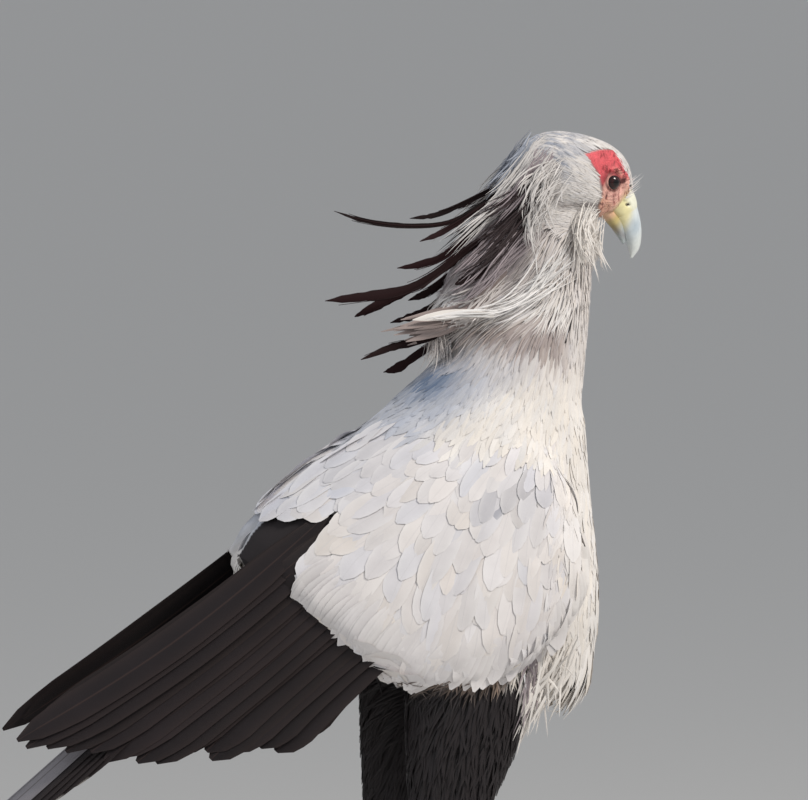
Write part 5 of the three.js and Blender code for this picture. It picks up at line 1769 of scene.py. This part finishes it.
def scaleTree():  # small domed scales scattered over the rest of leg and foot
    tree, given, result = geometryTree("fine scales", {"Scale Size": ("Float", 0.0017),
                                                       "Density": ("Float", 240000.0), "Seed": ("Int", 0)})
    spread = addNode(tree, "GeometryNodeDistributePointsOnFaces",
                     {"Mesh": given.outputs["Geometry"], "Distance Min": given.outputs["Scale Size"],
                      "Density Max": given.outputs["Density"], "Seed": given.outputs["Seed"]},
                     distribute_method="POISSON")
    dome = addNode(tree, "GeometryNodeMeshIcoSphere", {"Radius": 1.0, "Subdivisions": 1})
    squashed = addNode(tree, "GeometryNodeTransform", {"Geometry": dome.outputs[0], "Scale": (0.62, 0.62, 0.3)})
    placed = addNode(tree, "GeometryNodeInstanceOnPoints",
                     {"Points": spread.outputs["Points"], "Instance": squashed.outputs[0],
                      "Rotation": spread.outputs["Rotation"], "Scale": given.outputs["Scale Size"]})
    return closeTree(tree, result, placed.outputs[0], scaleMaterial)


def legSurface():
    work = bmesh.new()
    work.from_mesh(skin.data)
    scuteSurface = BVHTree.FromPolygons([v.co for v in scutes.data.vertices],
                                        [p.vertices for p in scutes.data.polygons])
    covered = lambda c: c.z > 0.345 or c.z < 0.003 or scuteSurface.find_nearest(c, 0.0019)[0] is not None
    bmesh.ops.delete(work, geom=[f for f in work.faces if covered(f.calc_center_median())], context="FACES")
    mesh = bpy.data.meshes.new("leg surface")
    work.to_mesh(mesh)
    work.free()
    return linkMesh("leg surface", mesh)


fine = runTree("fine_scales", legSurface(), scaleTree(),
               {"Scale Size": scuteSet["scaleSize"] * 0.001, "Density": 260000.0, "Seed": scuteSet["scaleSeed"]})
bakeIslands(fine, 12, "scaleTone",
            lambda p: blendTone(plainTone("legPink", p), "legGrey", 0.4 + 0.5 * ripple(p, 12, 6)))
finishPiece(fine, None, "leg_scales")


def bristleTree():  # tapered hairs along each line
    tree, given, result = geometryTree("bristles", {"Root Width": ("Float", 0.0004), "Sides": ("Int", 5)})
    curve = addNode(tree, "GeometryNodeMeshToCurve", {"Mesh": given.outputs["Geometry"]})
    along = addNode(tree, "GeometryNodeSplineParameter")
    taper = addNode(tree, "ShaderNodeMapRange", {"Value": along.outputs["Factor"], "To Min": 1.0, "To Max": 0.12})
    wide = times(tree, taper.outputs[0], given.outputs["Root Width"])
    sized = addNode(tree, "GeometryNodeSetCurveRadius", {"Curve": curve.outputs[0], "Radius": wide})
    circle = addNode(tree, "GeometryNodeCurvePrimitiveCircle", {"Resolution": given.outputs["Sides"], "Radius": 1.0})
    tube = addNode(tree, "GeometryNodeCurveToMesh",
                   {"Curve": sized.outputs[0], "Profile Curve": circle.outputs[0], "Fill Caps": True})
    if "Scale" in tube.inputs:
        tree.links.new(wide, tube.inputs["Scale"])
    return closeTree(tree, result, tube.outputs[0], bristleMaterial)


bristleMaterial, tree = newMaterial("bristle")
setShader(tree, {"Base Color": pointTone(tree, "bristleTone", 300.0, 0.15).outputs["Color"], "Roughness": 0.5})
bristleSet = dict(seed=81, points=7, lashLine=[(-8, 9.5), (-4, 11.2), (1, 12.2), (6, 11.4), (11, 9.2), (15, 6.0)],
                  lashCount=11, lashLong=(6, 10), loreLine=[(20, 12), (25, 8), (28, 2), (27, -6)], loreCount=16,
                  loreLong=(8, 17))


def bristleLines():
    rng = np.random.default_rng(bristleSet["seed"])
    lines, colours = [], []
    t = np.linspace(0, 1, bristleSet["points"])
    for s in (-1, 1):
        for kind, lean, tone in (("lash", (0.55, 0.75, 0.45), "lidDark"), ("lore", (0.42, 0.36, 0.92), "fringe")):
            places, count, long = (bristleSet[kind + part] for part in ("Line", "Count", "Long"))
            for place, share in zip(stations(places, count), np.linspace(0, 1, count)):
                x, z = place + rng.normal(0, 0.7, 2)
                start = hitFrom([fromHead((x, s * rayStart, z))], [np.array([0, -s, 0]) @ headTurn.T])[0]
                if np.isnan(start).any():
                    continue
                local = headLocal(start)
                ahead, above = lean[0] + rng.normal(0, 0.12), lean[2] * (1 - 0.4 * share) + rng.normal(0, 0.12)
                way = unit(np.array([ahead, s * lean[1], above]))
                curl = np.array([-0.5, 0.1 * s, 0.8]) * rng.uniform(0.25, 0.6)
                size = rng.uniform(*long)
                own = local + way * (t * size)[:, None] + curl * ((t ** 2) * size * 0.6)[:, None]
                own[0] = local - way * 1.2
                lines.append(fromHead(own))
                colours.append(tones[tone])
    return lines, np.array(colours)


lines, lineTones = bristleLines()
bristles = runTree("bristles", polyline("bristle lines", lines, []), bristleTree(),
                   {"Root Width": scuteSet["bristleRoot"] * 0.001, "Sides": 5})
perBristle = len(bristles.data.vertices) // max(len(lines), 1)
bakeIslands(bristles, perBristle, "bristleTone", lambda p: lineTones[:len(p)])
finishPiece(bristles, None, "feather_grey")
